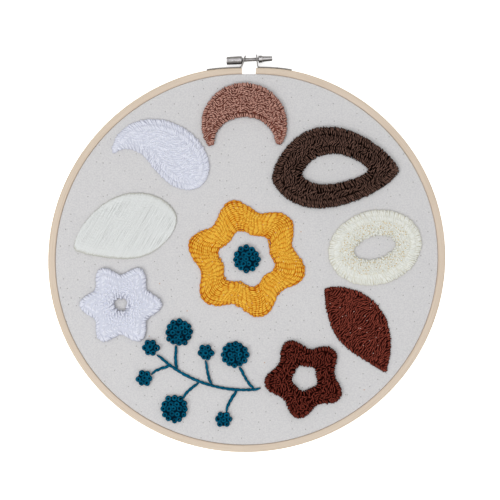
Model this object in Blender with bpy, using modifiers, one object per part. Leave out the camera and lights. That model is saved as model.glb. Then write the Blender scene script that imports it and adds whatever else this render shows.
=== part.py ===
"""A round wooden hoop holding cotton canvas, embroidered with a wreath of plain motifs.

The hoop lies on its back: its face looks along +Z and its clamp screw points along +Y.
The origin is at the middle of the box that holds the whole object, on the surface that it lies on.
Everything is in metres.
"""

import math
from collections import namedtuple

import bmesh
import bpy
import numpy as np
from mathutils import Vector

# Hoop: an oval a little longer across than down, pulled flatter where the clamp draws its ends together
HOOP_LONG = 0.3181
HOOP_SHORT = 0.3091
HOOP_TURN = math.radians(10)
HOOP_MIDDLE_Y = -0.00467
OUTER_DIP = 0.0019
INNER_DIP = 0.0008
DIP_SPREAD = math.radians(10)
RING_DEPTH = 0.010
RING_WIDTH = 0.0058
RING_ROUND = 0.0009
INNER_RING_WIDTH = 0.005
RING_STEPS = 84
SPLIT_LEFT = -0.00384
SPLIT_RIGHT = 0.00752

# Cloth: a sheet over the inner ring, its edge turned down between the two rings
FIT = 0.0003
CLOTH_THICK = 0.001
CLOTH_TOP = 0.0092
CLOTH_HEM = 0.0008
CLOTH_ROUND = 0.0005

# Clamp: two bent plates, a thumb screw through their ears and a tapered nut
PLATE_THICK = 0.0007
PLATE_HALF_WIDTH = 0.004
SCREW_LEFT_END = Vector((-0.0163, 0.1591, RING_DEPTH / 2))
SCREW_TILT = math.radians(3)
SHANK_RADIUS = 0.0013
SCREW_SIDES = 20

# Heights of the stitches over the cloth
LOOP_PILE = 0.005
FLAT_PILE = 0.0022
SATIN_PILE = 0.0016
STEM_PILE = 0.0021
KNOT_PILE = 0.004
RUFFLE = 0.16

# Knots, in round clusters
KNOT_PITCH = 0.0044
KNOT_SIDES = 24
KNOT_CROWN = 0.2
KNOT_EDGE = 0.38
KNOT_DIP = 0.50
KNOT_LIFT = 0.26
FLOWER_KNOT_RINGS = 2

# Stems
STEM_HALF_WIDTH = 0.0016
STEM_BULGE = 0.18
STEM_STEPS = 25
TWIG_STEPS = 9

# Leaves with a hole: how pointed their ends are, and how much wider they are below the middle
LEAF_POINT = 1.35
LEAF_BELLY = 0.22

# Where a motif's foot is drawn in under its edge, as a part of its width, and how flat its top is
FOOT = 0.04
RIM_HEIGHT = 0.45
TOP_FLATNESS = 4

# The sprig stands in its own frame, stem upwards, and is then put in its place in the wreath
STEM_LENGTH = 0.090
STEM_BEND = math.radians(-52)

Place = namedtuple("Place", "angle distance tilt")
Turned = namedtuple("Turned", "along radius")
PlatePoint = namedtuple("PlatePoint", "x y half_width")
Twig = namedtuple("Twig", "along slant length curl knot_rings")
Lobed = namedtuple("Lobed", "radius lobes depth stretch")
Leaf = namedtuple("Leaf", "length width bend")
RingMotif = namedtuple("RingMotif", "name outer hole pile columns steps finish")
StripMotif = namedtuple(
    "StripMotif", "name length start turn hurry tip half_width fullness roundness pile columns finish"
)

# Where each motif sits: degrees around the hoop, distance from its middle, degrees that it leans
PLACES = {
    "flower_mustard": Place(0, 0.000, 15),
    "crescent_rose": Place(91, 0.109, 90),
    "leaf_brown": Place(45, 0.100, -41),
    "oval_cream": Place(5, 0.103, 10),
    "leaf_rust": Place(-32, 0.105, -22),
    "blossom_maroon": Place(-64, 0.106, 0),
    "sprig_teal": Place(-108.5, 0.100, -90),
    "star_white": Place(-160, 0.107, 10),
    "leaf_satin": Place(167, 0.100, 30),
    "paisley_white": Place(134, 0.102, 2),
}

# Motifs that are a band of stitches round a hole. A lobed outline swells by depth times its radius
RINGS = (
    RingMotif(
        "flower_mustard", Lobed(0.043, 6, 0.12, 1.0), Lobed(0.021, 6, 0.09, 1.0), FLAT_PILE, 5, 72, "mustard"
    ),
    RingMotif(
        "leaf_brown", Leaf(0.102, 0.064, 0.006), Leaf(0.052, 0.023, 0.003), LOOP_PILE, 5, 48, "brown"
    ),
    RingMotif(
        "blossom_maroon", Lobed(0.0285, 5, 0.15, 1.0), Lobed(0.0095, 5, 0.06, 1.0), LOOP_PILE, 5, 50, "maroon"
    ),
    RingMotif(
        "oval_cream", Lobed(0.0300, 2, 0.0, 1.27), Lobed(0.0085, 2, 0.0, 1.9), FLAT_PILE, 7, 44, "cream"
    ),
    RingMotif(
        "star_white", Lobed(0.0290, 6, 0.15, 1.0), Lobed(0.0048, 6, 0.0, 1.0), LOOP_PILE, 6, 48, "cool_white"
    ),
)

# Motifs that are one strip along a rib. The rib starts at one heading and turns by so many degrees,
# late where hurry is over 1. The strip is widest near its start where fullness is under 1
STRIPS = (
    StripMotif(
        "crescent_rose", 0.104, -106, 212, 1.0, 0.0025, 0.0115, 1.0, 1.0, LOOP_PILE, 5, "rose"
    ),
    StripMotif(
        "paisley_white", 0.092, -14, 124, 2.2, 0.0010, 0.0205, 0.62, 0.85, FLAT_PILE, 7, "cool_white"
    ),
    StripMotif(
        "leaf_rust", 0.084, 16, -32, 1.0, 0.0008, 0.0205, 0.9, 0.9, FLAT_PILE, 7, "rust"
    ),
    StripMotif(
        "leaf_satin", 0.086, -12, 24, 1.0, 0.0010, 0.0250, 0.8, 0.75, SATIN_PILE, 7, "satin"
    ),
)
STRIP_STEPS = 34

# The thumb screw, from its knurled end: distance along the screw and radius
SCREW_PROFILE = (
    Turned(0.0000, 0.0025),
    Turned(0.0005, 0.0032),
    Turned(0.0113, 0.0033),
    Turned(0.0122, 0.0024),
    Turned(0.0124, SHANK_RADIUS),
    Turned(0.0362, SHANK_RADIUS),
)

# The nut, measured along the same screw
NUT_BORE = SHANK_RADIUS + FIT
NUT_PROFILE = (
    Turned(0.0258, 0.0029),
    Turned(0.0287, 0.0029),
    Turned(0.0289, 0.0025),
    Turned(0.0299, 0.0024),
    Turned(0.0300, 0.0022),
    Turned(0.0366, 0.00185),
    Turned(0.0369, 0.0017),
)

# The ears, seen from the front, above the end of the plate that follows the ring
LEFT_EAR = (
    PlatePoint(-0.00400, 0.1548, PLATE_HALF_WIDTH),
    PlatePoint(-0.00315, 0.1572, PLATE_HALF_WIDTH),
    PlatePoint(-0.00170, 0.1612, PLATE_HALF_WIDTH),
    PlatePoint(-0.00100, 0.1631, 0.0024),
)
RIGHT_EAR = (
    PlatePoint(0.00865, 0.1548, PLATE_HALF_WIDTH),
    PlatePoint(0.00850, 0.1572, PLATE_HALF_WIDTH),
    PlatePoint(0.00812, 0.1618, PLATE_HALF_WIDTH),
    PlatePoint(0.00795, 0.1640, 0.0024),
)
LEFT_PLATE_REACH = (-0.0320, -0.0052)
RIGHT_PLATE_REACH = (0.0359, 0.0098)
PLATE_STEPS = 7

# The sprig's twigs: how far up the stem each leaves it, its slant to the left, its length, how it
# curls on to the left, and how many rings of knots its berry has. The stem's tip carries one more
TWIGS = (
    Twig(0.06, -56, 0.016, -16, 2),
    Twig(0.20, 54, 0.015, 22, 1),
    Twig(0.44, -56, 0.015, -16, 1),
    Twig(0.54, 52, 0.014, 22, 2),
    Twig(0.78, -50, 0.014, -16, 2),
    Twig(0.84, 48, 0.012, 22, 1),
)
TIP_KNOT_RINGS = 1

# Colours as the eye reads them, 0 to 255, with roughness and how far each is metal
Finish = namedtuple("Finish", "red green blue roughness metallic")
FINISHES = {
    "beech": Finish(220, 204, 186, 0.55, 0.0),
    "canvas": Finish(207, 206, 206, 0.95, 0.0),
    "nickel": Finish(160, 155, 153, 0.30, 1.0),
    "mustard": Finish(214, 154, 49, 0.90, 0.0),
    "rose": Finish(138, 96, 84, 0.95, 0.0),
    "rust": Finish(85, 35, 25, 0.90, 0.0),
    "brown": Finish(48, 34, 29, 0.95, 0.0),
    "maroon": Finish(67, 25, 18, 0.95, 0.0),
    "cream": Finish(213, 211, 201, 0.90, 0.0),
    "cool_white": Finish(208, 211, 225, 0.90, 0.0),
    "satin": Finish(213, 215, 214, 0.60, 0.0),
    "teal": Finish(7, 50, 74, 0.90, 0.0),
}


def clear_scene():
    """Empties the scene of objects."""
    for obj in list(bpy.data.objects):
        bpy.data.objects.remove(obj, do_unlink=True)


def new_collection(name):
    """A collection of this name, linked to the scene."""
    made = bpy.data.collections.new(name)
    bpy.context.scene.collection.children.link(made)
    return made


def linear(channel):
    """A display colour channel, 0 to 255, as scene-linear light."""
    value = channel / 255
    return value / 12.92 if value <= 0.04045 else ((value + 0.055) / 1.055) ** 2.4


def material_of(name):
    """The named finish as a Principled material, made once."""
    if name in bpy.data.materials:
        return bpy.data.materials[name]
    finish = FINISHES[name]
    made = bpy.data.materials.new(name)
    made.use_nodes = True
    shader = made.node_tree.nodes["Principled BSDF"]
    colour = [linear(channel) for channel in (finish.red, finish.green, finish.blue)]
    shader.inputs["Base Color"].default_value = (*colour, 1.0)
    shader.inputs["Roughness"].default_value = finish.roughness
    shader.inputs["Metallic"].default_value = finish.metallic
    return made


def loft(name, rows, closed, finish, collection):
    """A solid through rows of points, each row a closed section. Open lofts get flat ends."""
    rows = np.asarray(rows, float)
    count, around = rows.shape[:2]
    mesh = bmesh.new()
    grid = [[mesh.verts.new(point) for point in row] for row in rows]
    for i in range(count if closed else count - 1):
        here, there = grid[i], grid[(i + 1) % count]
        for j in range(around):
            k = (j + 1) % around
            mesh.faces.new((here[j], here[k], there[k], there[j]))
    if not closed:
        mesh.faces.new(list(reversed(grid[0])))
        mesh.faces.new(grid[-1])
    bmesh.ops.recalc_face_normals(mesh, faces=mesh.faces)
    return object_from(name, mesh, finish, collection)


def object_from(name, mesh, finish, collection):
    """An object holding this mesh and finish, shaded smooth but for its sharp edges."""
    data = bpy.data.meshes.new(name)
    mesh.to_mesh(data)
    mesh.free()
    data.shade_smooth()
    data.set_sharp_from_angle(angle=math.radians(35))
    data.materials.append(material_of(finish))
    made = bpy.data.objects.new(name, data)
    collection.objects.link(made)
    return made


def hoop_outline(inset, height, angles):
    """The hoop's outline drawn in by inset: a turned oval, pulled in round its top by the clamp."""
    long_half = HOOP_LONG / 2 - inset
    short_half = HOOP_SHORT / 2 - inset
    turned = angles - HOOP_TURN
    radius = long_half * short_half / np.hypot(short_half * np.cos(turned), long_half * np.sin(turned))
    from_top = np.angle(np.exp(1j * (angles - math.pi / 2)))
    thinned = np.clip(inset / RING_WIDTH, 0, 1)
    dip = OUTER_DIP + (INNER_DIP - OUTER_DIP) * thinned
    radius = radius - dip * np.exp(-((from_top / DIP_SPREAD) ** 2))
    x = radius * np.cos(angles)
    y = radius * np.sin(angles) + HOOP_MIDDLE_Y
    return np.stack([x, y, np.full_like(x, height)], axis=1)


def ring_angles():
    """Evenly spaced angles once round the hoop."""
    return np.arange(RING_STEPS) * (2 * math.pi / RING_STEPS)


def hoop_ring(name, outer_inset, width, top, collection):
    """A wooden ring of four-sided section."""
    corners = (
        (outer_inset, 0.0),
        (outer_inset + width, 0.0),
        (outer_inset + width, top),
        (outer_inset, top),
    )
    sides = [hoop_outline(inset, height, ring_angles()) for inset, height in corners]
    return loft(name, np.stack(sides, axis=1), True, "beech", collection)


def round_edges(ring):
    """Takes the sharpness off a ring's four edges."""
    rounding = ring.modifiers.new("rounded_edges", "BEVEL")
    rounding.width = RING_ROUND
    rounding.segments = 1
    rounding.limit_method = "ANGLE"
    rounding.angle_limit = math.radians(60)


def cut(target, cutter):
    """Takes the cutter's shape out of the target."""
    cutter.hide_render = True
    cutter.display_type = "WIRE"
    boolean = target.modifiers.new("cut_by_" + cutter.name, "BOOLEAN")
    boolean.operation = "DIFFERENCE"
    boolean.solver = "EXACT"
    boolean.object = cutter


def outer_ring(collection, cutters):
    """The outer ring, split at the top between the two ears."""
    ring = hoop_ring("outer_ring", 0.0, RING_WIDTH, RING_DEPTH, collection)
    round_edges(ring)
    mesh = bmesh.new()
    bmesh.ops.create_cube(mesh, size=1)
    span = SPLIT_RIGHT - SPLIT_LEFT
    bmesh.ops.scale(mesh, verts=mesh.verts, vec=(span, RING_WIDTH * 4, RING_DEPTH * 3))
    block = object_from("split_cutter", mesh, "beech", cutters)
    block.location = (SPLIT_LEFT + span / 2, HOOP_SHORT / 2 + HOOP_MIDDLE_Y, RING_DEPTH / 2)
    cut(ring, block)
    return ring


def cloth_sheet(collection):
    """The canvas: flat over the inner ring, its rim turned down between the rings."""
    outside = RING_WIDTH + FIT
    inside = outside + CLOTH_THICK
    under = CLOTH_TOP - CLOTH_THICK
    rims = (
        (inside + CLOTH_ROUND, under),
        (inside, under - CLOTH_ROUND),
        (inside, CLOTH_HEM),
        (outside, CLOTH_HEM),
        (outside, CLOTH_TOP - CLOTH_ROUND),
        (outside + CLOTH_ROUND, CLOTH_TOP),
    )
    rows = [hoop_outline(inset, height, ring_angles()) for inset, height in rims]
    return loft("cloth", rows, False, "canvas", collection)


def screw_axis():
    """The screw's direction, rising a little to the right."""
    return Vector((math.cos(SCREW_TILT), math.sin(SCREW_TILT), 0.0))


def turned_piece(name, profile, bore, collection):
    """A piece turned about the screw's axis, solid or with a bore along it."""
    mesh = bmesh.new()
    outline = [Vector((point.radius, 0, point.along)) for point in reversed(profile)]
    first, last = profile[0].along, profile[-1].along
    outline.append(Vector((bore, 0, first)))
    outline.insert(0, Vector((bore, 0, last)))
    points = [mesh.verts.new(point) for point in outline]
    edges = list(zip(points, points[1:]))
    if bore > 0:
        edges.append((points[-1], points[0]))
    for start, end in edges:
        mesh.edges.new((start, end))
    made = object_from(name, mesh, "nickel", collection)
    turning = made.modifiers.new("turned", "SCREW")
    turning.angle = 2 * math.pi
    turning.steps = SCREW_SIDES
    turning.render_steps = SCREW_SIDES
    turning.use_merge_vertices = True
    turning.merge_threshold = 0.00001
    made.rotation_euler = screw_axis().to_track_quat("Z", "Y").to_euler()
    made.location = SCREW_LEFT_END + Vector((0, HOOP_MIDDLE_Y, 0))
    return made


def plate_path(reach, ear):
    """The plate's points: along the ring's outer side, then up the ear, each with its half width."""
    run = []
    lift = FIT + PLATE_THICK / 2
    for x in np.linspace(reach[0], reach[1], PLATE_STEPS):
        angle = math.acos(x / (HOOP_SHORT / 2))
        point = hoop_outline(-lift, 0.0, np.array([angle]))[0]
        run.append((point[0], point[1], PLATE_HALF_WIDTH))
    run += [(point.x, point.y + HOOP_MIDDLE_Y, point.half_width) for point in ear]
    return run


def clasp(name, reach, ear, collection, cutters):
    """A thin plate that follows the ring and turns up into an ear with a hole for the screw."""
    mesh = bmesh.new()
    middle = RING_DEPTH / 2
    pairs = []
    for x, y, half_width in plate_path(reach, ear):
        low = mesh.verts.new((x, y, middle - half_width))
        high = mesh.verts.new((x, y, middle + half_width))
        pairs.append((low, high))
    for (low, high), (next_low, next_high) in zip(pairs, pairs[1:]):
        mesh.faces.new((low, next_low, next_high, high))
    made = object_from(name, mesh, "nickel", collection)
    wall = made.modifiers.new("plate_thickness", "SOLIDIFY")
    wall.thickness = PLATE_THICK
    wall.offset = 0
    wall.use_even_offset = True
    hole = bmesh.new()
    radius = SHANK_RADIUS + 2 * FIT
    bmesh.ops.create_cone(
        hole, cap_ends=True, segments=12, radius1=radius, radius2=radius, depth=0.008
    )
    drill = object_from(name + "_drill", hole, "nickel", cutters)
    drill.rotation_euler = screw_axis().to_track_quat("Z", "Y").to_euler()
    along = (ear[1].x - SCREW_LEFT_END.x) / math.cos(SCREW_TILT)
    drill.location = SCREW_LEFT_END + screw_axis() * along + Vector((0, HOOP_MIDDLE_Y, 0))
    cut(made, drill)
    return made


def placed(points, place):
    """Motif points moved from the motif's own frame, where +Y looks outwards, to its place."""
    angle = math.radians(place.angle)
    turn = angle - math.pi / 2 + math.radians(place.tilt)
    points = np.asarray(points, float)
    x = points[:, 0] * math.cos(turn) - points[:, 1] * math.sin(turn)
    y = points[:, 0] * math.sin(turn) + points[:, 1] * math.cos(turn)
    x = x + place.distance * math.cos(angle)
    y = y + place.distance * math.sin(angle) + HOOP_MIDDLE_Y
    return np.stack([x, y], axis=1)


def lobed_outline(shape, steps):
    """A closed outline with round lobes, stretched along its own Y."""
    angles = np.arange(steps) * (2 * math.pi / steps)
    quarter = math.pi / 2 * (shape.lobes % 2)
    reach = shape.radius * (1 + shape.depth * np.cos(shape.lobes * angles + quarter))
    return np.stack([reach * np.cos(angles), shape.stretch * reach * np.sin(angles)], axis=1)


def leaf_outline(shape, steps):
    """A closed leaf, widest below its middle and pointed at both ends, its rib bent to one side."""
    angles = np.arange(steps) * (2 * math.pi / steps)
    across = np.sign(np.cos(angles)) * np.abs(np.cos(angles)) ** LEAF_POINT
    along = np.sin(angles)
    x = shape.width / 2 * across * (1 - LEAF_BELLY * along) + shape.bend * (along**2 - 0.5)
    return np.stack([x, shape.length / 2 * along], axis=1)


def outline_of(shape, steps):
    """The outline of a lobed or a leaf shape."""
    if isinstance(shape, Lobed):
        return lobed_outline(shape, steps)
    return leaf_outline(shape, steps)


def walked(length, headings):
    """Points a steady step apart, each step in its own heading, moved so that their box is centred."""
    middles = (headings[1:] + headings[:-1]) / 2
    step = length / len(middles)
    moves = step * np.stack([-np.sin(middles), np.cos(middles)], axis=1)
    points = np.vstack([[0.0, 0.0], np.cumsum(moves, axis=0)])
    return points - (points.max(axis=0) + points.min(axis=0)) / 2


def sides_of(points, half_widths):
    """The two edges of a strip along these points."""
    along = np.gradient(points, axis=0)
    along = along / np.linalg.norm(along, axis=1, keepdims=True)
    normals = np.stack([-along[:, 1], along[:, 0]], axis=1)
    widths = np.asarray(half_widths)[:, None]
    return points + normals * widths, points - normals * widths


def stitched(name, edges, pile, columns, closed, finish, collection):
    """Stitches between two edges: flat underneath, domed on top, each second stitch a little lower."""
    left, right = edges
    base = CLOTH_TOP + FIT
    across = np.linspace(0, 1, columns)
    dome = RIM_HEIGHT + (1 - RIM_HEIGHT) * (1 - np.abs(2 * across - 1) ** TOP_FLATNESS)
    rows = []
    for i, (start, end) in enumerate(zip(left, right)):
        lowered = 1 - RUFFLE * ((i + np.arange(columns)) % 2)
        heights = base + pile * dome * lowered
        top = [(*(start + (end - start) * a), h) for a, h in zip(across, heights)]
        first = (*(start + (end - start) * FOOT), base)
        last = (*(end + (start - end) * FOOT), base)
        rows.append([first, *top, last])
    return loft(name, rows, closed, finish, collection)


def ring_motif(motif, collection):
    """A band of stitches between a motif's outer outline and its hole."""
    place = PLACES[motif.name]
    edges = [placed(outline_of(shape, motif.steps), place) for shape in (motif.outer, motif.hole)]
    return stitched(motif.name, edges, motif.pile, motif.columns, True, motif.finish, collection)


def strip_motif(motif, collection):
    """A solid motif: stitches from side to side of a strip along its rib."""
    along = np.linspace(0, 1, STRIP_STEPS)
    headings = np.radians(motif.start + motif.turn * along**motif.hurry)
    swell = np.sin(math.pi * along**motif.fullness) ** motif.roundness
    sides = sides_of(walked(motif.length, headings), motif.tip + motif.half_width * swell)
    edges = [placed(side, PLACES[motif.name]) for side in sides]
    return stitched(motif.name, edges, motif.pile, motif.columns, False, motif.finish, collection)


def cluster_radius(knot_rings):
    """How far a cluster of knots reaches: half a knot past its outermost ring."""
    return (knot_rings + 0.5) * KNOT_PITCH


def knot_cluster(name, middle, knot_rings, collection):
    """Knots in one round pad: one, then rings of six and twelve, each raised, with a dip between rings."""
    angles = np.arange(KNOT_SIDES) * (2 * math.pi / KNOT_SIDES)
    reach = cluster_radius(knot_rings)
    rings = [(reach - KNOT_PITCH * FOOT, 0.0, 0), (reach, KNOT_EDGE, 0)]
    for ring in range(knot_rings, 0, -1):
        rings.append((ring * KNOT_PITCH, 1 - KNOT_LIFT, 6 * ring))
        rings.append(((ring - 0.5) * KNOT_PITCH, KNOT_DIP, 0))
    rings.append((KNOT_CROWN * KNOT_PITCH, 1.0, 0))
    rows = []
    for radius, height, knots in rings:
        lift = KNOT_LIFT * np.cos(knots * angles) if knots else 0 * angles
        x = middle[0] + radius * np.cos(angles)
        y = middle[1] + radius * np.sin(angles)
        z = CLOTH_TOP + FIT + KNOT_PILE * (height + lift)
        rows.append(np.stack([x, y, z], axis=1))
    return loft(name, rows, False, "teal", collection)


def ahead(heading):
    """One unit in this heading, measured to the left from +Y."""
    return np.array([-math.sin(heading), math.cos(heading)])


def stem(name, points, collection):
    """A line of stem stitch, each second section a little wider, with the wool's slant left out."""
    bulge = 1 + STEM_BULGE * (np.arange(len(points)) % 2)
    edges = sides_of(np.asarray(points), STEM_HALF_WIDTH * bulge)
    return stitched(name, edges, STEM_PILE, 3, False, "teal", collection)


def sprig(collection):
    """A bent stem with twigs to both sides and a cluster of knots at the end of each."""
    place = PLACES["sprig_teal"]
    headings = np.linspace(-STEM_BEND / 2, STEM_BEND / 2, STEM_STEPS)
    rib = walked(STEM_LENGTH, headings)
    stem("sprig_stem", placed(rib, place), collection)
    ends = [(rib[-1], headings[-1], TIP_KNOT_RINGS)]
    steps = np.linspace(0, 1, STEM_STEPS)
    for number, twig in enumerate(TWIGS, 1):
        root = np.array([np.interp(twig.along, steps, rib[:, k]) for k in range(2)])
        heading = np.interp(twig.along, steps, headings) + math.radians(twig.slant)
        turns = np.linspace(heading, heading + math.radians(twig.curl), TWIG_STEPS)
        points = walked(twig.length, turns)
        clear = STEM_HALF_WIDTH * (1 + STEM_BULGE) * 2 + FIT
        points = points - points[0] + root + clear * ahead(heading)
        stem(f"sprig_twig_{number}", placed(points, place), collection)
        ends.append((points[-1], turns[-1], twig.knot_rings))
    for number, (tip, heading, knot_rings) in enumerate(ends, 1):
        reach = cluster_radius(knot_rings) + STEM_HALF_WIDTH / 2 + FIT
        middle = placed([tip + reach * ahead(heading)], place)[0]
        knot_cluster(f"berry_{number}", middle, knot_rings, collection)


def wreath(collection):
    """All the motifs but the sprig, and the knots in the middle of the large flower."""
    for motif in RINGS:
        ring_motif(motif, collection)
    for motif in STRIPS:
        strip_motif(motif, collection)
    knot_cluster("flower_knots", (0.0, HOOP_MIDDLE_Y), FLOWER_KNOT_RINGS, collection)


def main():
    """Builds the hoop, the clamp, the cloth and the embroidery."""
    clear_scene()
    parts = new_collection("hoop_embroidery_art")
    cutters = new_collection("cutters")
    outer_ring(parts, cutters)
    inner_inset = RING_WIDTH + FIT + CLOTH_THICK + FIT
    inner_top = CLOTH_TOP - CLOTH_THICK - FIT
    hoop_ring("inner_ring", inner_inset, INNER_RING_WIDTH, inner_top, parts)
    cloth_sheet(parts)
    clasp("clasp_left", LEFT_PLATE_REACH, LEFT_EAR, parts, cutters)
    clasp("clasp_right", RIGHT_PLATE_REACH, RIGHT_EAR, parts, cutters)
    turned_piece("clamp_screw", SCREW_PROFILE, 0.0, parts)
    turned_piece("clamp_nut", NUT_PROFILE, NUT_BORE, parts)
    wreath(parts)
    sprig(parts)


main()
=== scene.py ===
"""Dresses a round embroidery hoop: beech rings, a steel clamp, stretched canvas and a wreath of stitches.

Every size is in metres, in the frame of the solids. The hoop lies on its back, its face looks along +Z
and its clamp points along +Y. Each piece here stands in the place of one solid and has its form, worked
finer: rounded wood, bent plate, a knurled screw, woven cloth, and yarn that is laid strand by strand.
"""

import logging
import math
from dataclasses import dataclass, replace
from enum import Enum
from functools import cache

import bpy
import numpy as np
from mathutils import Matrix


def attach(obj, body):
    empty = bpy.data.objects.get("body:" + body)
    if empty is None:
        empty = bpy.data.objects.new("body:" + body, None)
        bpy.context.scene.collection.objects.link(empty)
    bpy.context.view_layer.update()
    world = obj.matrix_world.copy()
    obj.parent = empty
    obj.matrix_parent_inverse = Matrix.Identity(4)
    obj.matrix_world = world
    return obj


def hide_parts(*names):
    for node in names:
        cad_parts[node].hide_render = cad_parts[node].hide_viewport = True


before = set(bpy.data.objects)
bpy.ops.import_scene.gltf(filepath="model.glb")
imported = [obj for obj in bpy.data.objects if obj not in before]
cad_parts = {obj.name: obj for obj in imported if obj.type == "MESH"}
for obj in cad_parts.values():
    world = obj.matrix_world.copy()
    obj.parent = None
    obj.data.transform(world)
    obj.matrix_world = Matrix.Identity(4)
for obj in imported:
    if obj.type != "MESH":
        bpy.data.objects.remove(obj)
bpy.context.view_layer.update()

Array = np.ndarray
Colour = tuple[int, int, int]
Rng = np.random.Generator
Socket = bpy.types.NodeSocket

log = logging.getLogger("hoop")

BODY = "root"
SEED = 12

# Heights that the rings, the cloth and the stitches share
GAP = 0.0003
CLOTH_THICK = 0.001
CLOTH_TOP = 0.0092
STITCH_BASE = CLOTH_TOP + GAP
RING_DEPTH = 0.010
RING_WIDTH = 0.0058

# A motif's section: how high its edge is, and how flat its top
RIM_HEIGHT = 0.45
TOP_FLATNESS = 4


class Slot(Enum):
    """The finishes of the record."""

    WOOD = "wood"
    CANVAS = "canvas"
    METAL = "metal"
    MUSTARD = "mustard_wool"
    ROSE = "rose_wool"
    BROWN = "brown_wool"
    CREAM = "cream_wool"
    RUST = "rust_wool"
    MAROON = "maroon_wool"
    WHITE = "white_wool"
    SATIN = "satin_thread"
    TEAL = "teal_wool"


def unit(vectors: Array) -> Array:
    """Vectors made one long, along their last axis."""
    return vectors / np.linalg.norm(vectors, axis=-1, keepdims=True)


def left_of(directions: Array) -> Array:
    """Plan directions turned a quarter turn to the left."""
    return np.stack([-directions[..., 1], directions[..., 0]], axis=-1)


def flat3(directions: Array) -> Array:
    """Plan directions with a height of nought."""
    return np.concatenate([directions, np.zeros_like(directions[..., :1])], axis=-1)


def turned(directions: Array, angles: Array) -> Array:
    """Plan directions, each turned to the left by its own angle."""
    cosines, sines = np.cos(angles)[..., None], np.sin(angles)[..., None]
    return directions * cosines + left_of(directions) * sines


def round_angles(count: int) -> Array:
    """Even angles once round, from nought."""
    return np.arange(count) * (2 * math.pi / count)


def compass(angles: Array) -> Array:
    """Plan directions at these angles."""
    return np.stack([np.cos(angles), np.sin(angles)], axis=-1)


def spin_of(turn: float) -> Array:
    """What rows of plan points are multiplied by to turn them to the left."""
    cosine, sine = math.cos(turn), math.sin(turn)
    return np.array([[cosine, sine], [-sine, cosine]])


def raised(plan: Array, heights: Array) -> Array:
    """Plan points with their heights added."""
    return np.concatenate([plan, np.broadcast_to(heights, plan.shape[:-1])[..., None]], axis=-1)


def walk(line: Array) -> Array:
    """How far it is along a line to each of its points."""
    return np.concatenate([[0], np.cumsum(np.linalg.norm(np.diff(line, axis=0), axis=1))])


def read_off(at: Array, marks: Array, table: Array) -> Array:
    """The table's columns, read off between its rows, whose places are the marks."""
    return np.stack([np.interp(at, marks, column) for column in table.T], axis=-1)


def swell(share: Array, power: float) -> Array:
    """A power of the sine of half a turn: nought at both ends and 1 in the middle."""
    return np.clip(np.sin(math.pi * share), 0, 1) ** power


@dataclass(frozen=True)
class Skin:
    """One or many closed surfaces as arrays.

    Points are in metres. Corners holds the faces' point numbers one after another, and sizes how many
    belong to each face. The lay is a map for each corner: metres along the strand, share of a turn
    round it. Tint is a number from 0 to 1 for each point, the same along a strand.
    """

    points: Array
    corners: Array
    sizes: Array
    lay: Array
    tint: Array

    @property
    def triangles(self) -> int:
        """How many triangles the faces come to."""
        return int((self.sizes - 2).sum())

    @staticmethod
    def joined(skins: list["Skin"]) -> "Skin":
        """Many skins as one.

        Args:
            skins: the skins, in order.

        Returns:
            One skin that holds them all, apart from each other.
        """
        starts = np.cumsum([0] + [len(skin.points) for skin in skins[:-1]])
        return Skin(
            np.concatenate([skin.points for skin in skins]),
            np.concatenate([skin.corners + start for skin, start in zip(skins, starts)]),
            np.concatenate([skin.sizes for skin in skins]),
            np.concatenate([skin.lay for skin in skins]),
            np.concatenate([skin.tint for skin in skins]),
        )

    def unlit(self) -> "Skin":
        """The same surface laid as the side of a strand all over, so that no part of it gets a crown's
        painted highlight.
        """
        return replace(self, lay=np.column_stack([self.lay[:, 0], np.full(len(self.lay), 0.5)]))

    def to_object(self, name: str, floor: float, height: float, sharp: float) -> bpy.types.Object:
        """Puts the arrays into a mesh object.

        Args:
            name: the piece's name.
            floor: the height at which the mark named rise is 0.
            height: how far above that it reaches 1.
            sharp: faces that meet at more than these degrees keep a sharp edge.

        Returns:
            The object, at the origin, with its map and its marks tint and rise.
        """
        mesh = bpy.data.meshes.new(name)
        mesh.vertices.add(len(self.points))
        mesh.vertices.foreach_set("co", self.points.astype(np.float32).ravel())
        mesh.loops.add(len(self.corners))
        mesh.loops.foreach_set("vertex_index", self.corners.astype(np.int32))
        mesh.polygons.add(len(self.sizes))
        starts = np.cumsum(self.sizes) - self.sizes
        mesh.polygons.foreach_set("loop_start", starts.astype(np.int32))
        mesh.update(calc_edges=True)
        mesh.shade_smooth()
        lay = mesh.uv_layers.new(name="lay")
        lay.uv.foreach_set("vector", self.lay.astype(np.float32).ravel())
        rise = np.clip((self.points[:, 2] - floor) / height, 0, 1)
        for mark, values in (("tint", self.tint), ("rise", rise)):
            attribute = mesh.attributes.new(mark, "FLOAT", "POINT")
            attribute.data.foreach_set("value", values.astype(np.float32))
        mesh.set_sharp_from_angle(angle=math.radians(sharp))
        piece = bpy.data.objects.new(name, mesh)
        bpy.context.scene.collection.objects.link(piece)
        return piece


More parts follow.
